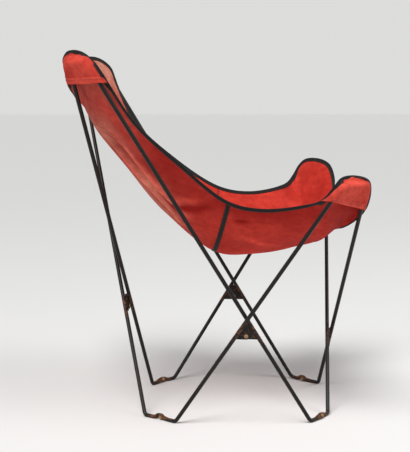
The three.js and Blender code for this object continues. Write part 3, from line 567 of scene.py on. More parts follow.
def sling_outline(side):
    """Places of one side's outline, drawn on the left, and their partners' counts on the spine."""
    reach = EAR_REACH[side]
    sag = np.array([-1, 0, -1]) * RIM_SAG[side] * MM
    top, lip = [np.array([x, 0, z]) for x, z in (BACK_TOP, FRONT_LIP)]
    waist, seat = np.array(WAIST), np.array(SEAT_EDGE)
    places = [
        (top, 0),
        (top + TOP_SIDE, 0.1),
        (ear_place("back_ear", -1, 90, -73, -54), 0.25),
        (ear_place("back_ear", -1, 38, -27, -12), 0.4),
        (ear_place("back_ear", -1, 20, -11, 8), 0.5),
        (ear_place("back_ear", -1, 0, -9, 24), 0.65),
        (ear_place("back_ear", 1, -32, -9, 23), 0.82),
        (ear_place("back_ear", 1, 11, -15, -3), 1),
        (ear_place("back_ear", 1, 24, -39, -42) + sag * 0.45, 1.25),
        (waist + BACK_EDGE + sag, 2),
        (waist + WAIST_RISE + sag * 0.9, 3),
        (waist + sag * 0.2, 4),
        (seat, 5),
        (seat + SEAT_RISE, 6),
        (ear_place("front_ear", 1, 7, -45, -29), 6.6),
        (ear_place("front_ear", 1, 9, -14, 0), 7),
        (ear_place("front_ear", 1, -12, -11, 18), 7.12),
        (ear_place("front_ear", -1, -30, -11, 22), 7.3),
        (ear_place("front_ear", -1, 18 + reach, -14 + reach, 8), 7.5),
        (ear_place("front_ear", -1, 49 + reach, -30 + reach, -29), 7.65),
        (ear_place("front_ear", -1, 70 + reach, -62 + reach, -75), 7.8),
        (lip + LIP_SIDE, 7.92),
        (lip, 8),
    ]
    return np.array([place for place, _ in places]), np.array([count for _, count in places], float)


def sling_spine():
    """Points of the middle line of the sling, from the back edge through the seat's low to the front lip."""
    top, low, lip = [np.array(place) for place in (BACK_TOP, LOW, FRONT_LIP)]
    above_waist = np.array([WAIST[0], BACK_TOP[1]])
    below_waist = np.array([WAIST[0], LOW[1]])
    below_lip = np.array([FRONT_LIP[0], LOW[1]])
    line = [
        top, top + SPINE_NECK, above_waist + SPINE_SHOULDERS, below_waist + SPINE_SMALL,
        below_waist + SPINE_WAIST, low, low + SPINE_SEAT, below_lip + SPINE_KNEES, lip,
    ]
    return np.array([(x, 0, z) for x, z in line])


def edge_loop(side):
    """One side's outline drawn on the left and closed by its mirror image."""
    outline = sling_outline(side)[0]
    return np.vstack([outline, (outline * (1, -1, 1))[-2:0:-1]])


EDGE_LOOPS = {side: edge_loop(side) for side in SIDES.values()}
PARTNERS = catmull(sling_spine(), sling_outline(1)[1])


def smooth_sling(station, across):
    """Sling surface: x and z go from the spine to the edge by the share |across|^p, rounded off at the
    spine, and y is the edge's y times across; p rises by a bell round each ear."""
    station, across = np.broadcast_arrays(np.asarray(station, float), np.asarray(across, float))
    left, right = [catmull(EDGE_LOOPS[side], station, closed=True) for side in (1, -1)]
    edge = np.where((across < 0)[..., None], right, left)
    middle = catmull(PARTNERS, station)
    from_ears = [station - ear for ear in (BACK_EAR_STATION, FRONT_EAR_STATION)]
    near = sum(bell(off, EAR_SECTION_REACH) for off in from_ears)
    power = SECTION_POWER + (EAR_SECTION_POWER - SECTION_POWER) * np.minimum(near, 1)
    least = SPINE_ROUNDING**power
    rounded = [(value**2 + SPINE_ROUNDING**2) ** (power / 2) - least for value in (across, 1.0)]
    share = (rounded[0] / rounded[1])[..., None]
    mixed = middle + (edge - middle) * share
    mixed[..., 1] = edge[..., 1] * across
    return mixed


def outer_normal(station, across):
    """Unit normal to the underside and back: crosswise difference times lengthwise difference."""
    station = np.asarray(station, float)
    across = np.asarray(across, float)
    ahead = smooth_sling(np.minimum(station + DIFFERENCE, SPANS - DIFFERENCE), across)
    behind = smooth_sling(np.maximum(station - DIFFERENCE, DIFFERENCE), across)
    crosswise = smooth_sling(station, across + DIFFERENCE) - smooth_sling(station, across - DIFFERENCE)
    return unit(np.cross(crosswise, ahead - behind))


def ridge(points, places, side, width):
    """Bell of the distance to a run through places of the sling's surface, in height 0 to 1, and how far
    along the run its nearest place lies, as a share of the run's length."""
    corners = [mirrored(smooth_sling(*place), side) for place in places]
    nearest = np.full(points.shape[:-1], np.inf)
    along = np.zeros(points.shape[:-1])
    passed = 0.0
    for start, end in zip(corners, corners[1:]):
        run = end - start
        share = np.clip(((points - start) @ run) / (run @ run), 0, 1)
        distance = np.linalg.norm(points - start - share[..., None] * run, axis=-1)
        length = np.linalg.norm(run)
        along = np.where(distance < nearest, passed + share * length, along)
        nearest = np.minimum(nearest, distance)
        passed += length
    return bell(nearest, width), along / passed


def row_reach(station, side):
    """Length of a row of the sling per unit across, square to the edge, where it meets the edge."""
    side = np.sign(side) + (np.sign(side) == 0)
    tangent = unit(smooth_sling(station + DIFFERENCE, side) - smooth_sling(station - DIFFERENCE, side))
    row = (smooth_sling(station, side) - smooth_sling(station, side * (1 - DIFFERENCE))) / DIFFERENCE
    return np.linalg.norm(np.cross(row, tangent), axis=-1)


def relief(points):
    """Height of the small creases, along the outer normal: the bells of all creases, each fading out towards
    both ends of its run, added."""
    total = np.zeros(points.shape[:-1])
    for places, height, width, side in CREASES:
        swell, along = ridge(points, places, side, width * MM)
        taper = smooth_step(along / CREASE_FADE) * smooth_step((1 - along) / CREASE_FADE)
        total += height * MM * swell * taper
    return total


def cloth(station, across, settings):
    """Hanging canvas: the smooth surface moved along its normal by the bells of its folds and creases, by
    slow waves of sines, and by short puckers that fade within some 30 mm of the sewn edge."""
    station, across = np.broadcast_arrays(np.asarray(station, float), np.asarray(across, float))
    points = smooth_sling(station, across)
    upright = np.abs(points * (0, 1, 0)) + points * (1, 0, 1)
    depth = np.zeros(station.shape)
    for places, height, width in FOLDS:
        depth += height * MM * ridge(upright, places, 1, width * MM)[0]
    depth *= 1 - np.clip((np.abs(across) - FOLD_END) / FOLD_END_REACH, 0, 1)
    first, second = [np.sin(points @ np.array(way) + start) for way, start in SLOW_WAVES]
    waves = first * second + QUICK_SHARE * np.sin(points @ np.array(QUICK_WAVE))
    inset = (1 - np.abs(across)) * row_reach(station, across)
    inner = smooth_step((inset - SLACK_FROM) / SLACK_REACH)
    fine = (relief(points) + WAVE_HEIGHT * waves) * settings.crease_height * inner
    uneven = PUCKER_SHARES[0] + PUCKER_SHARES[1] * np.sin(station * PUCKER_BEAT[0] + PUCKER_BEAT[1])
    swing = PUCKER_SWING[0] * np.sin(station * PUCKER_SWING[1])
    along = np.sin(station * PUCKER_RATE + swing) * uneven
    beside = smooth_step((inset - PUCKER_FROM) / PUCKER_RISE) * np.exp(-inset / PUCKER_FALL)
    pucker = settings.pucker_height * along * beside
    return points + outer_normal(station, across) * (depth + fine + pucker)[..., None]


def inset_place(station, side, distance):
    """The place that lies the given distance in from the edge, with its normal: square to the edge near the
    middle of the back and front edges, along the sling's own rows elsewhere."""
    station = np.asarray(station, float)
    side = np.broadcast_to(side, station.shape).astype(float)
    edge = smooth_sling(station, side)
    tangent = unit(smooth_sling(station + DIFFERENCE, side) - smooth_sling(station - DIFFERENCE, side))
    normal = outer_normal(station, side)
    inward = unit(np.cross(tangent, normal))
    towards = smooth_sling(station, side * JUST_INSIDE) - edge
    inward = inward * np.sign(np.sum(inward * towards, -1))[..., None]
    beyond = np.minimum(station, SPANS - station) - POLE_REACH[0]
    row_share = np.clip(beyond / (POLE_REACH[1] - POLE_REACH[0]), 0, 1)[..., None]
    across = side * (1 - np.minimum(distance / row_reach(station, side), MOST_RIM_SHARE))
    point = (edge + inward * distance) * (1 - row_share) + smooth_sling(station, across) * row_share
    return point, unit(normal * (1 - row_share) + outer_normal(station, across) * row_share)


def ear_rods(bar, side):
    """Close points of the middle lines of the two rods that end in an ear, from the ear down."""
    lines = []
    for name in [name for name, rod in RODS.items() if rod[:2] == (bar, side)]:
        middle, ear_bend, foot_bend, _ = rod_corners(name)
        bend = arc(middle, ear_bend, foot_bend, EAR_BEND, POCKET_BEND_STEPS)
        lines.append(middle + (bend[0] - middle) * np.linspace(0, 1, POCKET_BAR_STEPS)[:, None])
        lines.append(bend)
        reach = np.linspace(0, POCKET_ROD_REACH, POCKET_ROD_STEPS)[:, None]
        lines.append(bend[-1] + unit(foot_bend - ear_bend) * reach)
    return np.vstack(lines)


def chain(points):
    """Corners of the lower side of the convex hull of sorted flat points."""
    corners = []
    for point in points:
        while len(corners) > 1:
            (ax, ay), (bx, by) = corners[-2:]
            if (bx - ax) * (point[1] - ay) - (by - ay) * (point[0] - ax) > 0:
                break
            corners.pop()
        corners.append(tuple(point))
    return corners


def taut_line(length, obstacles):
    """The shortest line from (0, 0) to (length, 0) over the obstacles: the convex hull of all of them, walked
    from the start round the far side to the end."""
    ends = [(0.0, 0.0), (length, 0.0)]
    points = np.vstack([ends, obstacles[obstacles[:, 1] > 1e-6]])
    points = points[np.lexsort((points[:, 1], points[:, 0]))]
    lower, upper = chain(points), chain(points[::-1])[::-1]
    start, end = lower.index(ends[0]), lower.index(ends[1])
    return np.array(lower[start::-1] + upper[1:-1] + lower[: end - 1 : -1])


def pocket_stations(pocket):
    """Stations of the outline at a pocket's inner and outer edge, row by row from its top to its mouth."""
    _, top, inner, outer, _ = POCKETS[pocket]
    spread = np.linspace(0, 1, POCKET_ROWS) ** POCKET_ROW_SPREAD
    sense = np.sign(inner - top) * POCKET_TOP_WIDTH
    return top + sense + (inner - top - sense) * spread, top - sense + (outer - top + sense) * spread


def sewn_line(stations, side):
    """Places where a pocket is sewn on, just off the outline at the given stations."""
    edge = np.full(stations.shape, float(side))
    return smooth_sling(stations, edge) + outer_normal(stations, edge) * PATCH_OFF


@functools.lru_cache(maxsize=None)
def pocket_patch(pocket, side):
    """Taut pocket: each level row is the shortest line on the outside of the ear's rods between two places
    of the outline (the upper hull of the rods' sections), then evened out by averaging neighbours.
    Returns the grid of points and their outward normals."""
    bar, rod_room = POCKETS[pocket][0], POCKETS[pocket][-1]
    along = mirrored(bar_ends(bar)[1], side)
    outward = np.array([-abs(along[1]) * np.sign(along[0]), abs(along[0]) * side, 0])
    ends = [sewn_line(stations, side) for stations in pocket_stations(pocket)]
    rods = ear_rods(bar, side)
    room = ROD_RADIUS + rod_room
    round_way = circle((1, 0), (0, 1), ROD_SIDES)
    points = np.zeros((POCKET_ROWS, POCKET_COLUMNS, 3))
    for row, (inner, outer) in enumerate(zip(*ends)):
        length = np.linalg.norm(outer - inner)
        chord = (outer - inner) / length
        rise = unit(outward - chord * (outward @ chord))
        off = (rods - inner) @ np.cross(chord, rise)
        near = np.abs(off) < room
        size = np.sqrt(room**2 - off[near] ** 2)[:, None]
        plane = np.stack([chord, rise])
        spots = (rods[near] - inner) @ plane.T
        hull = taut_line(length, (spots[:, None] + size[..., None] * round_way).reshape(-1, 2))
        run = lengths_along(hull)
        points[row] = inner + along_line(np.linspace(0, run[-1], POCKET_COLUMNS), run, hull) @ plane
    rim = sewn_line(np.linspace(*[sewn[0] for sewn in pocket_stations(pocket)], POCKET_COLUMNS), side)
    fall = (1 - np.linspace(0, 1, POCKET_ROWS))[:, None, None] ** POCKET_RIM_POWER
    points = points + (rim - points[0]) * fall
    for _ in range(POCKET_EVENING):
        inner = points[1:-1, 1:-1]
        mean = (points[:-2, 1:-1] + points[2:, 1:-1] + points[1:-1, :-2] + points[1:-1, 2:]) / 4
        points[1:-1, 1:-1] = inner + (mean - inner) * EVENING_SHARE
        mouth = points[-1]
        mouth[1:-1] += ((mouth[:-2] + mouth[2:]) / 2 - mouth[1:-1]) * EVENING_SHARE
    normals = unit(np.cross(np.gradient(points, axis=0), np.gradient(points, axis=1)))
    return points, normals * np.sign(np.sum(normals.mean((0, 1)) * outward))


def outer_leg(station, side):
    """Where the outer side of the edge tape starts, and its direction and normal: those of the sling, or
    of the pocket where one is sewn on."""
    station = np.asarray(station, float)
    edge = smooth_sling(station, side)
    normal = outer_normal(station, side)
    inward = unit(inset_place(station, side, TAPE_WIDTH)[0] - edge)
    share = lapped(station)[:, None]
    start = edge + normal * PATCH_OFF * share
    for pocket in POCKETS:
        for way in SIDES.values():
            points, normals = pocket_patch(pocket, way)
            inner, outer = pocket_stations(pocket)
            run = np.concatenate([inner[::-1], np.linspace(inner[0], outer[0], POCKET_COLUMNS), outer])
            inner_legs = (points[:, LEG_COLUMN] - points[:, 0])[::-1]
            outer_legs = points[:, -1 - LEG_COLUMN] - points[:, -1]
            legs = np.vstack([inner_legs, points[LEG_ROW] - points[0], outer_legs])
            inner_ups, outer_ups = normals[::-1, NORMAL_COLUMN], normals[:, -1 - NORMAL_COLUMN]
            ups = np.vstack([inner_ups, normals[NORMAL_ROW], outer_ups])
            order = np.argsort(run)
            legs, ups = [unit(smoothed(values[order], LAP_EVENING)) for values in (unit(legs), ups)]
            near = (station > run.min() - LAP_BESIDE) & (station < run.max() + LAP_BESIDE)
            here = (side == way) & near
            for target, values in ((inward, legs), (normal, ups)):
                found = along_line(station[here], run[order], values)
                target[here] = unit(target[here] * (1 - share[here]) + found * share[here])
    wide = np.where(station < WAIST_STATION, LAP_WIDTH["back"], LAP_WIDTH["front"])[:, None]
    return start, inward * (1 + (wide - 1) * share), normal


def smoothed(values, half):
    """Running mean over a few neighbours on each side."""
    padded = np.vstack([np.repeat(values[:1], half, 0), values, np.repeat(values[-1:], half, 0)])
    total = np.cumsum(np.vstack([np.zeros(3), padded]), axis=0)
    return (total[2 * half + 1:] - total[: -2 * half - 1]) / (2 * half + 1)


def lapped(station):
    """Share by which the edge tape laps over a pocket's edge: 1 beside a pocket, 0 away from it."""
    share = np.zeros_like(station)
    for _, _, inner, outer, _ in POCKETS.values():
        low, high = sorted((inner, outer))
        rising = smooth_step((station - low) / LAP_CHANGE + LAP_START)
        falling = smooth_step((high - station) / LAP_CHANGE + LAP_START)
        share = np.maximum(share, rising * falling)
    return share


def grid_quads(rows, columns, around=False):
    """Corner numbers of a grid's quads, row by row; around joins the last column to the first."""
    row = np.arange(rows - 1)[:, None]
    column = np.arange(columns if around else columns - 1)[None, :]
    a = row * columns + column
    b = row * columns + (column + 1) % columns
    return np.stack([a, b, b + columns, a + columns], -1).reshape(-1, 4)


def signed_volume(points, faces):
    """Six times the volume that the faces enclose, positive where they point outwards."""
    total = 0.0
    for face in faces:
        corners = [points[np.asarray(face)[..., k]] for k in range(np.asarray(face).shape[-1])]
        for k in range(1, len(corners) - 1):
            total += np.sum(np.cross(corners[0], corners[k]) * corners[k + 1])
    return total


def new_piece(name, points, quads, caps=(), uv=None, attributes=None):
    """A smooth mesh object at the origin from points, quads and flat end caps, with its UV map in metres."""
    points = np.asarray(points, float).reshape(-1, 3)
    mesh = bpy.data.meshes.new(name)
    faces = quads.tolist() + [list(cap) for cap in caps]
    mesh.from_pydata(points.tolist(), [], faces)
    smooth = np.ones(len(faces), bool)
    smooth[len(quads):] = False
    mesh.polygons.foreach_set("use_smooth", smooth)
    if uv is not None:
        corner = np.zeros(len(mesh.loops), np.int32)
        mesh.loops.foreach_get("vertex_index", corner)
        layer = mesh.uv_layers.new(name="weave")
        layer.data.foreach_set("uv", np.asarray(uv, np.float32).reshape(-1, 2)[corner].ravel())
    for label, values in (attributes or {}).items():
        layer = mesh.attributes.new(label, "FLOAT", "POINT")
        layer.data.foreach_set("value", np.asarray(values, np.float32).ravel())
    mesh.update()
    piece = bpy.data.objects.new(name, mesh)
    bpy.context.scene.collection.objects.link(piece)
    return piece


def tube_piece(name, rings, uv=None, attributes=None):
    """A closed piece from rings of points, row by row, with a flat cap on each end, faces outwards."""
    rows, columns = rings.shape[:2]
    points = rings.reshape(-1, 3)
    quads = grid_quads(rows, columns, around=True)
    caps = [np.arange(columns)[::-1], np.arange(columns) + (rows - 1) * columns]
    if signed_volume(points, [quads, caps[0], caps[1]]) < 0:
        quads = quads[:, ::-1]
        caps = [cap[::-1] for cap in caps]
    return new_piece(name, points, quads, [cap.tolist() for cap in caps], uv, attributes)


def face_outwards(piece, normals):
    """Turns the faces of a sheet round if they point to the sitter."""
    mesh = piece.data
    found = np.zeros(len(mesh.vertices) * 3, np.float32)
    mesh.vertex_normals.foreach_get("vector", found)
    if np.sum(found.reshape(-1, 3) * normals.reshape(-1, 3)) < 0:
        mesh.flip_normals()


def thicken(piece, thickness, inner_material=0):
    """Gives a sheet its thickness, half to each side; its inner side takes the material so many places on."""
    wall = piece.modifiers.new("thickness", "SOLIDIFY")
    wall.thickness = thickness
    wall.offset = 0
    wall.material_offset = inner_material


def tangents(line):
    """Unit directions of a line of points."""
    return unit(np.gradient(line, axis=0))


def finish(piece, node, materials, joint_keep=None):
    """Gives a piece its materials and the body of its CAD node; a piece given a share to keep gets its own
    mesh."""
    for material in materials:
        piece.data.materials.append(material)
    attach(piece, NODE_BODY[node])
    if joint_keep is not None:
        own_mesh(piece)
    return piece


class Nodes:
    """The node tree of a material or a world, with short calls to add and join nodes."""

    def __init__(self, owner):
        owner.use_nodes = True
        self.tree = owner.node_tree
        self.material = owner
        self.shader = self.tree.nodes.get("Principled BSDF")

    def add(self, kind, links=None, **settings):
        """A node with its properties set and its named inputs set or joined."""
        made = self.tree.nodes.new(kind)
        for key, value in settings.items():
            setattr(made, key, value)
        for key, value in (links or {}).items():
            self.put(made.inputs[key], value)
        return made

    def put(self, socket, value):
        """Joins an output to a socket, or sets the socket's own value."""
        if isinstance(value, bpy.types.NodeSocket):
            self.tree.links.new(value, socket)
        else:
            socket.default_value = value

    def shade(self, **values):
        """Sets or joins inputs of the shader by name, with _ for a space."""
        for key, value in values.items():
            self.put(self.shader.inputs[key.replace("_", " ")], value)

    def math(self, operation, a, b, clamp=False):
        """The output of a math node."""
        made = self.add("ShaderNodeMath", operation=operation, use_clamp=clamp)
        self.put(made.inputs[0], a)
        self.put(made.inputs[1], b)
        return made.outputs[0]

    def noise(self, scale, detail, roughness=0.55):
        """The output of a noise on Object coordinates."""
        place = self.add("ShaderNodeTexCoord").outputs["Object"]
        links = {"Vector": place, "Scale": scale, "Detail": detail, "Roughness": roughness}
        return self.add("ShaderNodeTexNoise", links).outputs["Fac"]

    def ramp(self, value, low, high):
        """The value mapped from low..high to 0..1, clamped."""
        made = self.add("ShaderNodeMapRange", {"Value": value, "From Min": low, "From Max": high}, clamp=True)
        return made.outputs["Result"]

    def mix(self, share, a, b):
        """A colour between two colours."""
        made = self.add("ShaderNodeMix", data_type="RGBA")
        self.put(made.inputs["Factor"], share)
        self.put(made.inputs[6], a)
        self.put(made.inputs[7], b)
        return made.outputs[2]

    def attribute(self, name):
        """A value that is stored on the piece."""
        return self.add("ShaderNodeAttribute", attribute_name=name).outputs["Fac"]

    def bump(self, height, distance, strength, normal=None):
        """A bump's normal."""
        made = self.add("ShaderNodeBump", {"Height": height, "Distance": distance, "Strength": strength})
        if normal is not None:
            self.put(made.inputs["Normal"], normal)
        return made.outputs["Normal"]

    def threads(self, pitch):
        """Height of a plain weave on the piece's UV map: two sets of waves at right angles."""
        place = self.add("ShaderNodeTexCoord").outputs["UV"]
        scale = 2 * math.pi / (WAVE_TEXTURE_RATE * pitch)
        links = {"Vector": place, "Scale": scale, "Distortion": 0.0}
        sets = [self.add("ShaderNodeTexWave", links, bands_direction=way) for way in ("X", "Y")]
        return self.math("MULTIPLY", sets[0].outputs["Fac"], sets[1].outputs["Fac"])


def rgba(colour, factor=1.0):
    """A colour with full opacity."""
    return (colour[0] * factor, colour[1] * factor, colour[2] * factor, 1.0)


def canvas_material(name, settings, fade_and_ridge_light, wear, sun, crease_shading_share):
    """Faded cotton canvas: coral red with worn and bleached patches, painted shade in the crease valleys and
    painted highlights on the crease ridges, paleness round the back ears that is partly sun bleaching and
    partly a painted highlight, a woven bump and a soft sheen.
    """
    nodes = Nodes(bpy.data.materials.new(name))
    broad = nodes.noise(scale=7.0, detail=4.0)
    fine = nodes.noise(scale=55.0, detail=5.0, roughness=0.65)
    # Painted crease shading: the crease heights are added to the wear, so ridges come out paler and valleys
    # darker as if lit from outside
    rubbed = nodes.math("MULTIPLY", nodes.attribute("crease_shading"), crease_shading_share)
    used = nodes.math("ADD", nodes.math("MULTIPLY", nodes.attribute("worn"), wear), rubbed)
    worn = nodes.ramp(nodes.math("ADD", used, nodes.math("MULTIPLY", broad, 0.8)), 0.35, 1.0)
    colour = nodes.mix(worn, rgba(settings.canvas_colour), rgba(settings.worn_colour))
    # The stored fading holds real bleaching plus painted highlights on the crease ridges
    cloudy = nodes.math("MULTIPLY", nodes.attribute("faded"), nodes.ramp(broad, 0.25, 0.75))
    # Paleness round the back ears, partly sun bleaching and partly a painted highlight on their lit inner
    # face
    sun_fade_and_highlight = nodes.math("MULTIPLY", nodes.attribute("sun_fade_and_highlight"), sun)
    bleached = nodes.math("ADD", nodes.math("MULTIPLY", cloudy, fade_and_ridge_light), sun_fade_and_highlight, clamp=True)
    colour = nodes.mix(bleached, colour, rgba(settings.faded_colour))
    colour = nodes.mix(nodes.ramp(fine, 0.35, 1.1), colour, rgba(settings.canvas_colour, 0.7))
    weave = nodes.threads(settings.weave_pitch)
    nodes.shade(Base_Color=colour, Roughness=0.88, Specular_IOR_Level=0.08)
    nodes.shade(Sheen_Weight=0.02, Sheen_Roughness=0.6)
    lumps = nodes.noise(scale=130.0, detail=4.0, roughness=0.7)
    rough = nodes.bump(lumps, distance=0.6 * MM, strength=0.5)
    nodes.shade(Normal=nodes.bump(weave, distance=0.4 * MM, strength=0.6, normal=rough))
    return nodes.material


def tape_material(settings):
    """Black woven tape: greyer where it rubs, with fine ribs across."""
    nodes = Nodes(bpy.data.materials.new("woven_black_tape"))
    rubbed = nodes.ramp(nodes.noise(scale=90.0, detail=5.0, roughness=0.7), 0.55, 0.85)
    colour = nodes.mix(rubbed, rgba(settings.tape_colour), rgba(settings.tape_colour, 4.0))
    nodes.shade(Base_Color=colour, Roughness=0.82, Specular_IOR_Level=0.25)
    nodes.shade(Sheen_Weight=0.04, Sheen_Roughness=0.5)
    ribs = nodes.threads(pitch=0.9 * MM)
    nodes.shade(Normal=nodes.bump(ribs, distance=0.3 * MM, strength=0.7))
    return nodes.material


def thread_material(settings):
    """Dark sewing thread with a slight twist of light and dark."""
    nodes = Nodes(bpy.data.materials.new("sewing_thread"))
    light = nodes.noise(scale=900.0, detail=2.0)
    colour = nodes.mix(light, rgba(settings.thread_colour, 0.6), rgba(settings.thread_colour, 2.2))
    nodes.shade(Base_Color=colour, Roughness=0.7)
    return nodes.material


def paint_material(settings):
    """Black paint on steel: satin, brushed by hand, chipped to brown rust where the piece is worn."""
    nodes = Nodes(bpy.data.materials.new("chipped_black_paint"))
    chips = nodes.noise(scale=140.0, detail=6.0, roughness=0.7)
    patches = nodes.noise(scale=24.0, detail=4.0)
    limit = nodes.math("MULTIPLY", nodes.attribute("worn"), settings.wear)
    bare = nodes.ramp(nodes.math("ADD", nodes.math("MULTIPLY", chips, 0.75), limit), 0.66, 0.74)
    rust = nodes.mix(patches, rgba(settings.rust_colour, 0.5), rgba(settings.rust_colour, 1.9))
    paint = nodes.mix(patches, rgba(settings.paint_colour, 0.7), rgba(settings.paint_colour, 1.9))
    nodes.shade(Base_Color=nodes.mix(bare, paint, rust), Specular_IOR_Level=0.24)
    shine = nodes.math("ADD", nodes.math("MULTIPLY", bare, 0.4), nodes.math("MULTIPLY", patches, 0.25))
    nodes.shade(Roughness=nodes.math("ADD", shine, 0.28, clamp=True))
    brushed = nodes.bump(patches, distance=0.8 * MM, strength=0.25)
    nodes.shade(Normal=nodes.bump(bare, distance=0.3 * MM, strength=-0.6, normal=brushed))
    return nodes.material


def rivet_material(settings):
    """Worn rivet steel: brassy bright where it is rubbed, brown in its hollows."""
    nodes = Nodes(bpy.data.materials.new("worn_rivet_steel"))
    spots = nodes.noise(scale=420.0, detail=6.0, roughness=0.7)
    rusty = nodes.ramp(spots, 0.4, 0.68)
    nodes.shade(Base_Color=nodes.mix(rusty, rgba(settings.rivet_colour), rgba(settings.rust_colour, 1.3)))
    dull = nodes.math("ADD", nodes.math("MULTIPLY", rusty, 0.35), 0.38)
    nodes.shade(Metallic=nodes.ramp(rusty, 1.0, 0.1), Roughness=dull)
    nodes.shade(Normal=nodes.bump(spots, distance=0.4 * MM, strength=0.5))
    return nodes.material


class SLING_CHAIR_OT_stage(bpy.types.Operator):
    """Makes the floor, the light and the camera"""

    bl_idname = "sling_chair.stage"
    bl_label = "Stage"

    def execute(self, context):
        settings = context.scene.sling_chair_stage
        context.scene.view_settings.view_transform = "Standard"
        self.floor(settings)
        self.sky(context.scene, settings)
        self.lamp("key_light", "SUN", KEY_PLACE, energy=settings.key_strength, angle=KEY_SPREAD)
        self.lamp("fill_lamp", "AREA", FILL_PLACE, energy=settings.fill_power, size=FILL_SIZE)
        self.lamp("front_lamp", "AREA", FRONT_PLACE, energy=settings.front_power, size=FRONT_SIZE)
        data = bpy.data.cameras.new("camera")
        data.sensor_width = SENSOR_WIDTH
        data.lens = CAMERA_LENS
        camera = bpy.data.objects.new("camera", data)
        camera.location = CAMERA_PLACE
        camera.rotation_euler = [math.radians(turn) for turn in CAMERA_TURN]
        context.scene.collection.objects.link(camera)
        context.scene.camera = camera
        return {"FINISHED"}

    def floor(self, settings):
        """One wide flat square, under the feet."""
        corners = np.array([(-1, -1, 0), (1, -1, 0), (1, 1, 0), (-1, 1, 0)]) * FLOOR_REACH
        piece = new_piece("floor", corners, np.array([[0, 1, 2, 3]]))
        nodes = Nodes(bpy.data.materials.new("pale_floor"))
        speck = nodes.noise(scale=3.0, detail=4.0)
        colour = nodes.mix(speck, rgba(settings.floor_colour, 0.985), rgba(settings.floor_colour))
        nodes.shade(Base_Color=colour, Roughness=0.9)
        piece.data.materials.append(nodes.material)

    def sky(self, scene, settings):
        """Even light from all round, seen as a pale background by the camera and in reflections."""
        world = bpy.data.worlds.new("studio")
        nodes = Nodes(world)
        light = nodes.tree.nodes["Background"]
        nodes.put(light.inputs["Color"], (1, 1, 1, 1))
        nodes.put(light.inputs["Strength"], settings.sky_strength)
        links = {"Color": rgba(settings.floor_colour), "Strength": BACKGROUND_STRENGTH}
        seen = nodes.add("ShaderNodeBackground", links)
        rays = nodes.add("ShaderNodeLightPath").outputs
        either = rays["Is Camera Ray"]
        for ray in ("Is Glossy Ray", "Is Transmission Ray"):
            either = nodes.math("MAXIMUM", either, rays[ray])
        mix = nodes.add("ShaderNodeMixShader", {0: either, 1: light.outputs[0], 2: seen.outputs[0]})
        nodes.put(nodes.tree.nodes["World Output"].inputs["Surface"], mix.outputs[0])
        scene.world = world

    def lamp(self, name, kind, place, **settings):
        """A soft light that faces the middle of the chair."""
        data = bpy.data.lights.new(name, kind)
        for key, value in settings.items():
            setattr(data, key, value)
        lamp = bpy.data.objects.new(name, data)
        lamp.location = place
        away = lamp.location - type(lamp.location)(LAMP_AIM)
        lamp.rotation_euler = away.to_track_quat("Z", "Y").to_euler()
        bpy.context.scene.collection.objects.link(lamp)


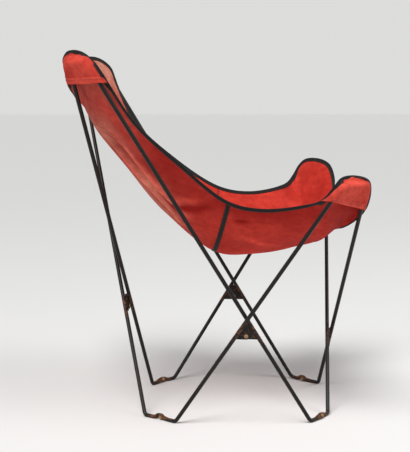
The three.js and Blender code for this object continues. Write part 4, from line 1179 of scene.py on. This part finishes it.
class SLING_CHAIR_OT_rods(bpy.types.Operator):
    """Makes the eight bent rods with their flattened eyes"""

    bl_idname = "sling_chair.rods"
    bl_label = "Rods"

    def execute(self, context):
        paint = paint_material(context.scene.sling_chair_frame)
        for name in RODS:
            self.rod(name, paint)
        return {"FINISHED"}

    def path(self, name):
        """Middle line: ear bar, bend, long straight, bend, foot bar, then the flattened eye round its rivet.
        Returns the line, each ring's distance from the eye's centre and the rivet's axis."""
        ear_middle, ear_bend, foot_bend, foot_middle = rod_corners(name)
        foot, foot_side, eye = RODS[name][2], RODS[name][3], RODS[name][5]
        start = ear_middle + unit(ear_bend - ear_middle) * EAR_END_GAP
        first = arc(start, ear_bend, foot_bend, EAR_BEND, BEND_STEPS)
        second = arc(ear_bend, foot_bend, foot_middle, FOOT_BEND, BEND_STEPS)
        straight = first[-1] + (second[0] - first[-1]) * np.linspace(0, 1, STRAIGHT_STEPS)[1:-1, None]
        round_part = np.vstack([start, first, straight, second])
        outward = unit(foot_bend - foot_middle)
        centre, axis = knuckle(foot, foot_side)
        flat_way = unit(outward - axis * (outward @ axis))
        centre = centre + axis * eye * (EYE_PLAY / 2 + EYE_THICKNESS / 2)
        reach = np.linalg.norm(second[-1] - foot_middle)
        tip = -EYE_RADIUS * np.sin(np.radians(np.linspace(0, TIP_TURN, TIP_STEPS)))[1:]
        neck = min(reach - LEAST_FOOT_RUN, FLATTENED_FROM)
        stops = np.concatenate([np.linspace(neck, 0, NECK_STEPS), tip])
        share = flattening(stops)[:, None]
        tube_line = foot_middle + outward * stops[:, None]
        eye_line = centre + flat_way * stops[:, None]
        flat_part = tube_line * (1 - share) + eye_line * share
        stops = np.concatenate([np.full(len(round_part), FAR_FROM_EYE), stops])
        return np.vstack([round_part, flat_part]), stops, axis

    def rod(self, name, paint):
        """Superellipse sections carried along the middle line: round in the tube, wide and flat in the
        eye."""
        line, stops, axis = self.path(name)
        flat = flattening(stops)
        wide = ROD_RADIUS + (EYE_RADIUS - ROD_RADIUS) * smooth_step((FLATTENED_FROM - stops) / FLATTENED_FROM)
        tip = np.sqrt(np.maximum(EYE_RADIUS**2 - np.minimum(stops, 0) ** 2, 0)) / EYE_RADIUS
        wide = wide * tip
        thick = ROD_RADIUS + (EYE_THICKNESS / 2 - ROD_RADIUS) * flat
        power = 2 / (2 + EYE_SQUARENESS * flat)
        along = tangents(line)
        thin_way = unit(axis - along * (along @ axis)[:, None])
        wide_way = np.cross(along, thin_way)
        turn = full_turn(ROD_SIDES)
        across = np.sign(np.cos(turn)) * np.abs(np.cos(turn)) ** power[:, None] * wide[:, None]
        deep = np.sign(np.sin(turn)) * np.abs(np.sin(turn)) ** power[:, None] * thick[:, None]
        rings = line[:, None] + across[..., None] * wide_way[:, None] + deep[..., None] * thin_way[:, None]
        rings[..., 2] = np.maximum(rings[..., 2], 0)
        worn = np.repeat(self.wear(line, name), len(turn))
        piece = tube_piece("tube_" + name, rings, attributes={"worn": worn})
        finish(piece, "rod_" + name, [paint])
        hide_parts("rod_" + name)

    def wear(self, line, name):
        """Wear of the paint: most at the foot and the crossing, falling with the distance from each."""
        spots = [crossing(c)[0] for c, pair in CROSSINGS.items() if name in pair]
        spots.append(knuckle(RODS[name][2], RODS[name][3])[0])
        near = [bell(np.linalg.norm(line - spot, axis=1), PAINT_WEAR_REACH) for spot in spots]
        least, more = ROD_WEAR
        return np.clip(sum(near), 0, 1) * more + least


class SLING_CHAIR_OT_plates(bpy.types.Operator):
    """Makes the crossing plates and the welds that hold them to the rods"""

    bl_idname = "sling_chair.plates"
    bl_label = "Crossing plates"

    def execute(self, context):
        settings = context.scene.sling_chair_frame
        paint = paint_material(settings)
        for name, rods in CROSSINGS.items():
            place = crossing(name)
            for rod, sense in zip(rods, (-1, 1)):
                self.plate(rod, place, sense, PLATES[name], paint)
                self.weld(rod, place, sense, settings.weld_radius, paint)
        return {"FINISHED"}

    def ways(self, rod, place):
        """Sideways towards the rod below the crossing, up, and the tangent of the rod's lean."""
        corners = rod_corners(rod)
        direction = unit(corners[1] - corners[2])
        up = place[2]
        sideways = unit(up * (direction @ up) - direction)
        return sideways, up, math.tan(math.acos(np.clip(direction @ up, -1, 1)))

    def plate(self, rod, place, sense, thickness, paint):
        """Flat outline with one edge down its rod and a round lobe about the rivet, its rim rounded by
        drawing the outline in towards its middle at both faces."""
        pivot, normal, _ = place
        sideways, up, lean = self.ways(rod, place)
        top = RIVET_DROP - PLATE_NECK
        lobe = np.linspace(np.pi, 1.5 * np.pi, LOBE_STEPS)
        outline = np.vstack([
            [((RIVET_DROP - top) * lean, top), (-(RIVET_DROP - top) * lean / 2, top)],
            np.stack([np.cos(lobe), np.sin(lobe)], 1) * PLATE_SKIRT,
            [((RIVET_DROP + PLATE_SKIRT) * lean, -PLATE_SKIRT)],
        ])
        middle = outline.mean(0)
        inset = 1 - PLATE_EDGE_INSET / np.linalg.norm(outline - middle, axis=1)[:, None]
        small = middle + (outline - middle) * inset
        outer = CROSSING_GAP / 2 - ROD_RADIUS - PLATE_CLEARANCE
        inner = outer - thickness
        levels = np.array([inner, inner + PLATE_EDGE_DEPTH, outer - PLATE_EDGE_DEPTH, outer]) * sense
        flat = np.stack([small, outline, outline, small])
        spots = pivot + flat[..., :1] * sideways + flat[..., 1:] * up + levels[:, None, None] * normal
        name = "crossing_plate_" + rod
        piece = tube_piece(name, spots, attributes={"worn": np.full(spots.shape[:2], PLATE_WEAR)})
        finish(piece, "plate_" + rod, [paint])
        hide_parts("plate_" + rod)

    def weld(self, rod, place, sense, radius, paint):
        """A bead in the corner between rod and plate: a round section whose radius ripples along its run."""
        pivot, normal, _ = place
        sideways, up, lean = self.ways(rod, place)
        top = RIVET_DROP - PLATE_NECK - WELD_TOP_GAP
        height = np.linspace(top, -PLATE_SKIRT + WELD_END_GAP, WELD_STEPS)
        share = np.linspace(0, 1, WELD_STEPS)
        off = CROSSING_GAP / 2 - ROD_RADIUS + WELD_OFF
        beside = (RIVET_DROP - height) * lean - WELD_BESIDE
        line = pivot + beside[:, None] * sideways + height[:, None] * up + off * sense * normal
        swell = radius * (1 + WELD_RIPPLE * np.sin(height / WELD_RIPPLE_LENGTH))
        swell = np.maximum(swell * (1 - (2 * share - 1) ** WELD_END_POWER) ** 0.5, WELD_LEAST)
        along = tangents(line)
        side_way = np.cross(along, normal)
        rings = line[:, None] + swell[:, None, None] * circle(normal, side_way[:, None], WELD_SIDES)
        piece = tube_piece("weld_" + rod, rings, attributes={"worn": np.full(rings.shape[:2], WELD_WEAR)})
        finish(piece, "plate_" + rod, [paint])


class SLING_CHAIR_OT_rivets(bpy.types.Operator):
    """Makes the rivets of the crossings and the foot knuckles"""

    bl_idname = "sling_chair.rivets"
    bl_label = "Rivets"

    def execute(self, context):
        steel = rivet_material(context.scene.sling_chair_frame)
        names = sorted(name for name in frame["nodes"] if name.startswith("rivet_"))
        for name in names:
            self.rivet(name, steel)
        return {"FINISHED"}

    def rivet(self, node, steel):
        """A turned profile round the line of the solid's own axis: the direction in which its points spread
        differently from the other two."""
        mesh = frame["nodes"][node].data
        points = np.zeros(len(mesh.vertices) * 3, np.float32)
        mesh.vertices.foreach_get("co", points)
        points = np.unique(points.reshape(-1, 3).round(6), axis=0).astype(float)
        centre = points.mean(0)
        spread, ways = np.linalg.eigh(np.cov((points - centre).T))
        lone = 2 if spread[2] - spread[1] > spread[1] - spread[0] else 0
        axis = ways[:, lone]
        height = (points - centre) @ axis
        radius = np.linalg.norm(points - centre - height[:, None] * axis, axis=1)
        if height[radius.argmax()] < 0:
            axis, height = -axis, -height
        profile = self.profile(height.min(), height.max(), radius, height)
        side_way = unit(np.cross(axis, ANY_WAY))
        around = circle(side_way, np.cross(axis, side_way), RIVET_SIDES)
        rings = centre + profile[:, 1][:, None, None] * axis + profile[:, 0][:, None, None] * around
        piece = tube_piece("round_" + node, rings)
        finish(piece, node, [steel])
        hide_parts(node)

    def profile(self, low, high, radius, height):
        """Radius and height from one end to the other: domes on the pin, rounded where they meet the
        plate."""
        head = radius.max()
        seat = np.abs(height[radius > HEAD_RIM * head]).min()
        beside = (radius > PIN_LEAST) & (radius < PIN_MOST * head) & (np.abs(height) < seat + PIN_REACH)
        pin = radius[beside].max() if np.any(beside) else head / 2
        turn = np.radians(np.linspace(DOME_FROM, 90, DOME_STEPS))
        edge = seat + DOME_EDGE
        dome = np.stack([head * np.sin(turn), edge + (high - edge) * np.cos(turn)], 1)
        foot = [(head * share, seat + lift) for share, lift in HEAD_FOOT]
        upper = np.vstack([dome, foot, [(pin, seat)]])
        lower = (upper * (1, -1))[::-1] if low < -seat else [(pin, low), (pin * PIN_TIP, low)]
        return np.vstack([upper, lower])


class SLING_CHAIR_OT_panels(bpy.types.Operator):
    """Makes the back and seat panels of the canvas sling"""

    bl_idname = "sling_chair.panels"
    bl_label = "Sling panels"

    def execute(self, context):
        settings = context.scene.sling_chair_cloth
        # The outside gets the painted crease shading and a little painted highlight round the ears; the
        # inside gets the full highlight and almost no crease shading
        outside = canvas_material("canvas_outside", settings, fade_and_ridge_light=1.0, wear=0.4, sun=0.25, crease_shading_share=0.45)
        inside = canvas_material("canvas_inside", settings, fade_and_ridge_light=0.2, wear=1.0, sun=1.0, crease_shading_share=0.05)
        ends = {
            "back": (PANEL_END, WAIST_STATION - SEAM_HALF),
            "seat": (WAIST_STATION + SEAM_HALF, SPANS - PANEL_END),
        }
        for name, (first, last) in ends.items():
            self.panel(name, np.linspace(first, last, PANEL_ROWS[name]), settings, outside, inside)
        return {"FINISHED"}

    def panel(self, name, stations, settings, outside, inside):
        """A grid of stations by places across, on the cloth surface with its creases up to its bound rim; its
        points store the painted crease shading and painted highlights used by its colour.
        """
        share = np.linspace(-1, 1, PANEL_COLUMNS)
        reaches = [row_reach(stations, np.full(stations.shape, side)) for side in (1.0, -1.0)]
        left, right = [1 - np.minimum(PANEL_RIM / reach, MOST_RIM_SHARE)[:, None] for reach in reaches]
        across = share * np.where(share < 0, right, left)
        station = np.broadcast_to(stations[:, None], across.shape)
        points = cloth(station, across, settings)
        middle = PANEL_COLUMNS // 2
        reach = lengths_along(points, axis=1)
        uv = grid_uv(reach - reach[:, middle][:, None], lengths_along(points[:, middle])[:, None])
        # Crease heights stored here give the painted crease shading in the colour
        attributes = {
            "faded": self.fade_and_ridge_light(points), "sun_fade_and_highlight": self.sun(points), "worn": self.use(station, across),
            "crease_shading": relief(points) / CREASE_SCALE,
        }
        quads = grid_quads(len(stations), PANEL_COLUMNS)
        piece = new_piece(f"sling_{name}_canvas", points, quads, uv=uv, attributes=attributes)
        face_outwards(piece, outer_normal(station, across))
        thicken(piece, settings.canvas_thickness, 1)
        finish(piece, f"{name}_panel", [outside, inside], FOLD_KEEP[name])
        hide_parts(f"{name}_panel")
        ear = BACK_EAR_STATION if name == "back" else FRONT_EAR_STATION
        length = float(np.linalg.norm(smooth_sling(ear, 1) - smooth_sling(WAIST_STATION, 1)) + EAR_SLOPE)

    def fade_and_ridge_light(self, points):
        """Bleaching of the back's outside, in bells on the middle of each half, with painted highlights on
        the crease ridges and painted shade in their valleys where the bells reach.
        """
        faded = np.zeros(points.shape[:2])
        for side in SIDES.values():
            for station, across, amount in FADED_SPOTS:
                spot = mirrored(smooth_sling(station, across), side)
                faded += amount * bell(np.linalg.norm(points - spot, axis=2), FADED_REACH)
        # Painted highlight on the crease ridges and painted shade in the valleys
        painted_ridge_light = RIDGE_HIGHLIGHT * relief(points) / CREASE_SCALE
        return np.clip(faded + painted_ridge_light * np.clip(faded * 2, 0, 1), 0, 1)

    def sun(self, points):
        """Bells round the two back ears: paler canvas that is partly sun bleaching and partly a painted
        highlight.
        """
        ears = [mirrored(BARS["back_ear"][0], side) for side in SIDES.values()]
        return np.clip(sum(bell(np.linalg.norm(points - ear, axis=2), SUN_AND_HIGHLIGHT_REACH) for ear in ears), 0, 1)

    def use(self, station, across):
        """Wear by the sitter: a wide bell over the seat and the small of the back."""
        seat = bell(station - SITTER_STATION, SITTER_REACH[0]) * bell(across, SITTER_REACH[1])
        return CANVAS_WEAR[0] + seat * CANVAS_WEAR[1]


def rim_run(name, count):
    """Stations and sides along the outline of a panel, from the right end of the waist to the left end."""
    pole = POLE_GAP if name == "back" else SPANS - POLE_GAP
    half = WAIST_STATION + (pole - WAIST_STATION) * np.linspace(0, 1, count)
    return np.concatenate([half, half[::-1]]), np.concatenate([-np.ones(count), np.ones(count)])


class SLING_CHAIR_OT_tapes(bpy.types.Operator):
    """Makes the edge tapes, the waist tape and their stitching"""

    bl_idname = "sling_chair.tapes"
    bl_label = "Tapes and stitching"

    def execute(self, context):
        settings = context.scene.sling_chair_cloth
        tape = tape_material(settings)
        thread = thread_material(settings)
        for name in ("back", "seat"):
            self.edge(name, settings, tape)
            self.edge_stitches(name, settings, thread)
        self.waist(settings, tape, thread)
        return {"FINISHED"}

    def edge(self, name, settings, tape):
        """A folded band carried along the outline: its inner side lies on the canvas, its fold goes round
        the edge, and its outer side lies on the canvas or on the pocket that is sewn there."""
        station, side = rim_run(name, TAPE_STEPS)
        edge = smooth_sling(station, side)
        inner, inner_normal = inset_place(station, side, TAPE_WIDTH)
        start, outward_leg, outward_normal = outer_leg(station, side)
        half = settings.tape_thickness
        fold = np.radians(np.linspace(90, 270, TAPE_FOLD_STEPS))
        reach, level = np.array(TAPE_PROFILE).T
        upper = start[:, None] + outward_leg[:, None] * (TAPE_WIDTH * reach)[:, None]
        upper = upper + outward_normal[:, None] * (half * level)[:, None]
        lower = edge[:, None] + (inner - edge)[:, None] * reach[:, None]
        lower = (lower - inner_normal[:, None] * (half * level)[:, None])[:, ::-1]
        middle = (upper[:, -1] + lower[:, 0]) / 2
        rise = (upper[:, -1] - lower[:, 0]) / 2
        away = -unit(outward_leg + unit(inner - edge)) * TAPE_WIDTH * TAPE_FOLD_BULGE
        up, out = np.sin(fold)[1:-1, None], -np.cos(fold)[1:-1, None]
        bend = middle[:, None] + rise[:, None] * up + away[:, None] * out
        rings = np.concatenate([upper, bend, lower], axis=1)
        uv = grid_uv(np.linspace(0, 2 * TAPE_WIDTH, rings.shape[1]), lengths_along(edge)[:, None])
        piece = tube_piece(f"sling_{name}_edge_tape", rings, uv=uv)
        finish(piece, f"{name}_binding", [tape], FOLD_KEEP[name])
        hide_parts(f"{name}_binding")

    def edge_stitches(self, name, settings, thread):
        """A row of stitches on each face of the edge tape, near its inner edge."""
        station, side = rim_run(name, SEWING_STEPS)
        inner, inner_normal = inset_place(station, side, TAPE_WIDTH * STITCH_PLACE)
        start, outward_leg, outward_normal = outer_leg(station, side)
        half = settings.tape_thickness
        outer = start + outward_leg * TAPE_WIDTH * STITCH_PLACE + outward_normal * half
        lines = ((outer, outward_normal), (inner - inner_normal * half, inner_normal))
        rows = [stitch_row(line, normal, settings) for line, normal in lines]
        piece = stitch_piece(f"stitches_{name}_edge_tape", rows)
        finish(piece, f"{name}_binding", [thread], FOLD_KEEP[name])

    def waist(self, settings, tape, thread):
        """A flat band under the seam of the two panels, from one edge tape to the other."""
        most = 1 - WAIST_TAPE_GAP / float(row_reach(np.array([WAIST_STATION]), np.ones(1))[0])
        across = np.linspace(-most, most, WAIST_STEPS)
        station = np.full(across.shape, WAIST_STATION)
        middle = cloth(station, across, settings)
        normal = outer_normal(station, across)
        behind, ahead = [cloth(station + way * WAIST_BESIDE, across, settings) for way in (-1, 1)]
        lengthwise = unit(ahead - behind)
        half = TAPE_WIDTH * WAIST_TAPE_SHARE
        reach, level = np.array(WAIST_PROFILE).T * [[half], [MM]]
        rings = middle[:, None] + lengthwise[:, None] * reach[:, None] + normal[:, None] * level[:, None]
        piece = tube_piece("sling_waist_tape", rings, uv=grid_uv(reach, lengths_along(middle)[:, None]))
        finish(piece, "waist_seam_tape", [tape], FOLD_KEEP["back"])
        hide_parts("waist_seam_tape")
        beside = lengthwise * half * WAIST_STITCH_PLACE
        rows = [
            stitch_row(middle + beside * way + normal * lift, normal, settings)
            for lift in WAIST_STITCH_LIFTS for way in (-1, 1)
        ]
        piece = stitch_piece("stitches_waist_tape", rows)
        finish(piece, "waist_seam_tape", [thread], FOLD_KEEP["back"])


def stitch_row(line, normal, settings):
    """Start, end and normal of each stitch, spaced evenly along a line of points."""
    run = lengths_along(line)
    places = np.arange(settings.stitch_pitch, run[-1] - settings.stitch_pitch, settings.stitch_pitch)
    half = settings.stitch_length / 2
    start, end = [along_line(places + way * half, run, line) for way in (-1, 1)]
    return start, end, unit(along_line(places, run, normal))


def stitch_piece(name, rows):
    """Little six-sided rolls of thread, one per stitch: five rings from end to end, widest in the middle."""
    start, end, up = [np.concatenate([row[k] for row in rows]) for k in range(3)]
    along = unit(end - start)
    side_way = np.cross(along, up)
    share, radius = np.array(STITCH_PROFILE).T
    radius = radius * MM
    middle = start[:, None] + (end - start)[:, None] * share[:, None]
    around = circle(up[:, None], side_way[:, None], THREAD_SIDES)
    points = middle[:, :, None] + radius[None, :, None, None] * around[:, None]
    each = len(share) * THREAD_SIDES
    shift = np.arange(len(start))[:, None, None] * each
    quads = grid_quads(len(share), THREAD_SIDES, around=True)
    ring = np.arange(THREAD_SIDES)
    ends = np.stack([ring[::-1], ring + each - THREAD_SIDES])
    inside_out = signed_volume(points[0].reshape(-1, 3), [quads, ends[0], ends[1]]) < 0
    quads = (quads[None] + shift).reshape(-1, 4)
    caps = (ends[None] + shift).reshape(-1, THREAD_SIDES)
    if inside_out:
        quads, caps = quads[:, ::-1], caps[:, ::-1]
    return new_piece(name, points, quads, caps.tolist())


class SLING_CHAIR_OT_pockets(bpy.types.Operator):
    """Makes the four pockets that hold the ears of the frame"""

    bl_idname = "sling_chair.pockets"
    bl_label = "Ear pockets"

    def execute(self, context):
        settings = context.scene.sling_chair_cloth
        canvas = canvas_material("canvas_pocket", settings, fade_and_ridge_light=0.5, wear=0.8, sun=0.0, crease_shading_share=0.0)
        thread = thread_material(settings)
        for pocket in POCKETS:
            for side_name, side in SIDES.items():
                self.pocket(pocket, side_name, side, settings, canvas, thread)
        return {"FINISHED"}

    def pocket(self, pocket, side_name, side, settings, canvas, thread):
        """The patch with small slack waves that fade at its sewn edges, and a turned hem along its mouth."""
        points, normal = pocket_patch(pocket, side)
        shares = [np.linspace(0, 1, count) for count in (POCKET_ROWS, POCKET_COLUMNS)]
        row, column = np.meshgrid(*shares, indexing="ij")
        (across_rate, down_rate), (rate, start) = POCKET_WAVES
        slack = 1 + np.sin(across_rate * column + down_rate * row + side) * np.sin(rate * row + start)
        slack = slack * (16 * (column * (1 - column)) ** 2) * smooth_step(row / POCKET_SLACK_FROM)
        points = points + normal * (POCKET_SLACK * slack)[..., None]
        across, along = lengths_along(points, axis=1), lengths_along(points)
        name = f"pocket_{pocket}_{side_name}"
        part = "back" if pocket == "back" else "seat"
        worn = POCKET_WEAR[0] + POCKET_WEAR[1] * (1 - row)
        piece = new_piece(
            "ear_" + name, points, grid_quads(POCKET_ROWS, POCKET_COLUMNS), uv=grid_uv(across, along),
            attributes={"faded": np.full(row.shape, POCKET_FADING), "worn": worn},
        )
        face_outwards(piece, normal)
        thicken(piece, settings.canvas_thickness)
        finish(piece, name, [canvas], FOLD_KEEP[part])
        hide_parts(name)
        hem = self.hem(name, points, normal, canvas, FOLD_KEEP[part])
        up = normal[POCKET_STITCH_ROW]
        line = points[POCKET_STITCH_ROW] + up * POCKET_STITCH_LIFT
        sewing = stitch_piece("stitches_" + name, [stitch_row(line, up, settings)])
        finish(sewing, name, [thread], FOLD_KEEP[part])

    def hem(self, name, points, normal, canvas, keep):
        """A turned double edge: a rounded band from a little above the mouth to just past it."""
        low, high = points[-1], points[HEM_ROW]
        down = unit(low - high)
        width = np.linalg.norm(low - high, axis=1)[:, None]
        reach, level = np.array(HEM_PROFILE).T
        column = np.linspace(0, 1, len(low))
        swell = HEM_END + (1 - HEM_END) * smooth_step(np.minimum(column, 1 - column) / HEM_END_REACH)
        height = swell[:, None] * level * MM
        rings = high[:, None] + down[:, None] * (width * reach)[..., None]
        rings = rings + normal[HEM_NORMAL_ROW][:, None] * height[..., None]
        uv = grid_uv(column[:, None] * HEM_SIZE[0], reach * HEM_SIZE[1])
        shape = rings.shape[:2]
        attributes = {"faded": np.full(shape, HEM_FADING), "worn": np.full(shape, HEM_WEAR)}
        piece = tube_piece("hem_" + name, rings, uv=uv, attributes=attributes)
        return finish(piece, name, [canvas], keep)


class SLING_CHAIR_PT_panel(bpy.types.Panel):
    """Lists the pieces and their settings in the sidebar"""

    bl_idname = "SLING_CHAIR_PT_panel"
    bl_label = "Sling chair"
    bl_space_type = "VIEW_3D"
    bl_region_type = "UI"
    bl_category = "Sling chair"

    def draw(self, context):
        for operator in OPERATORS:
            self.layout.operator(operator.bl_idname)
        for group in GROUPS:
            box = self.layout.box()
            settings = getattr(context.scene, group)
            for name in settings.bl_rna.properties.keys():
                if name not in ("rna_type", "name"):
                    box.prop(settings, name)


OPERATORS = (
    SLING_CHAIR_OT_stage,
    SLING_CHAIR_OT_rods,
    SLING_CHAIR_OT_plates,
    SLING_CHAIR_OT_rivets,
    SLING_CHAIR_OT_panels,
    SLING_CHAIR_OT_tapes,
    SLING_CHAIR_OT_pockets,
)
GROUPS = {
    "sling_chair_cloth": ClothSettings,
    "sling_chair_frame": FrameSettings,
    "sling_chair_stage": StageSettings,
}


def register():
    """Registers the settings, the operators and the panel."""
    for name, group in GROUPS.items():
        bpy.utils.register_class(group)
        setattr(bpy.types.Scene, name, bpy.props.PointerProperty(type=group))
    for cls in (*OPERATORS, SLING_CHAIR_PT_panel):
        bpy.utils.register_class(cls)


def unregister():
    """Takes the panel, the operators and the settings out again."""
    for cls in (SLING_CHAIR_PT_panel, *reversed(OPERATORS)):
        bpy.utils.unregister_class(cls)
    for name, group in GROUPS.items():
        delattr(bpy.types.Scene, name)
        bpy.utils.unregister_class(group)


def main():
    register()
    bpy.ops.sling_chair.stage()
    bpy.ops.sling_chair.rods()
    bpy.ops.sling_chair.plates()
    bpy.ops.sling_chair.rivets()
    bpy.ops.sling_chair.panels()
    bpy.ops.sling_chair.tapes()
    bpy.ops.sling_chair.pockets()


if __name__ == "__main__":
    main()
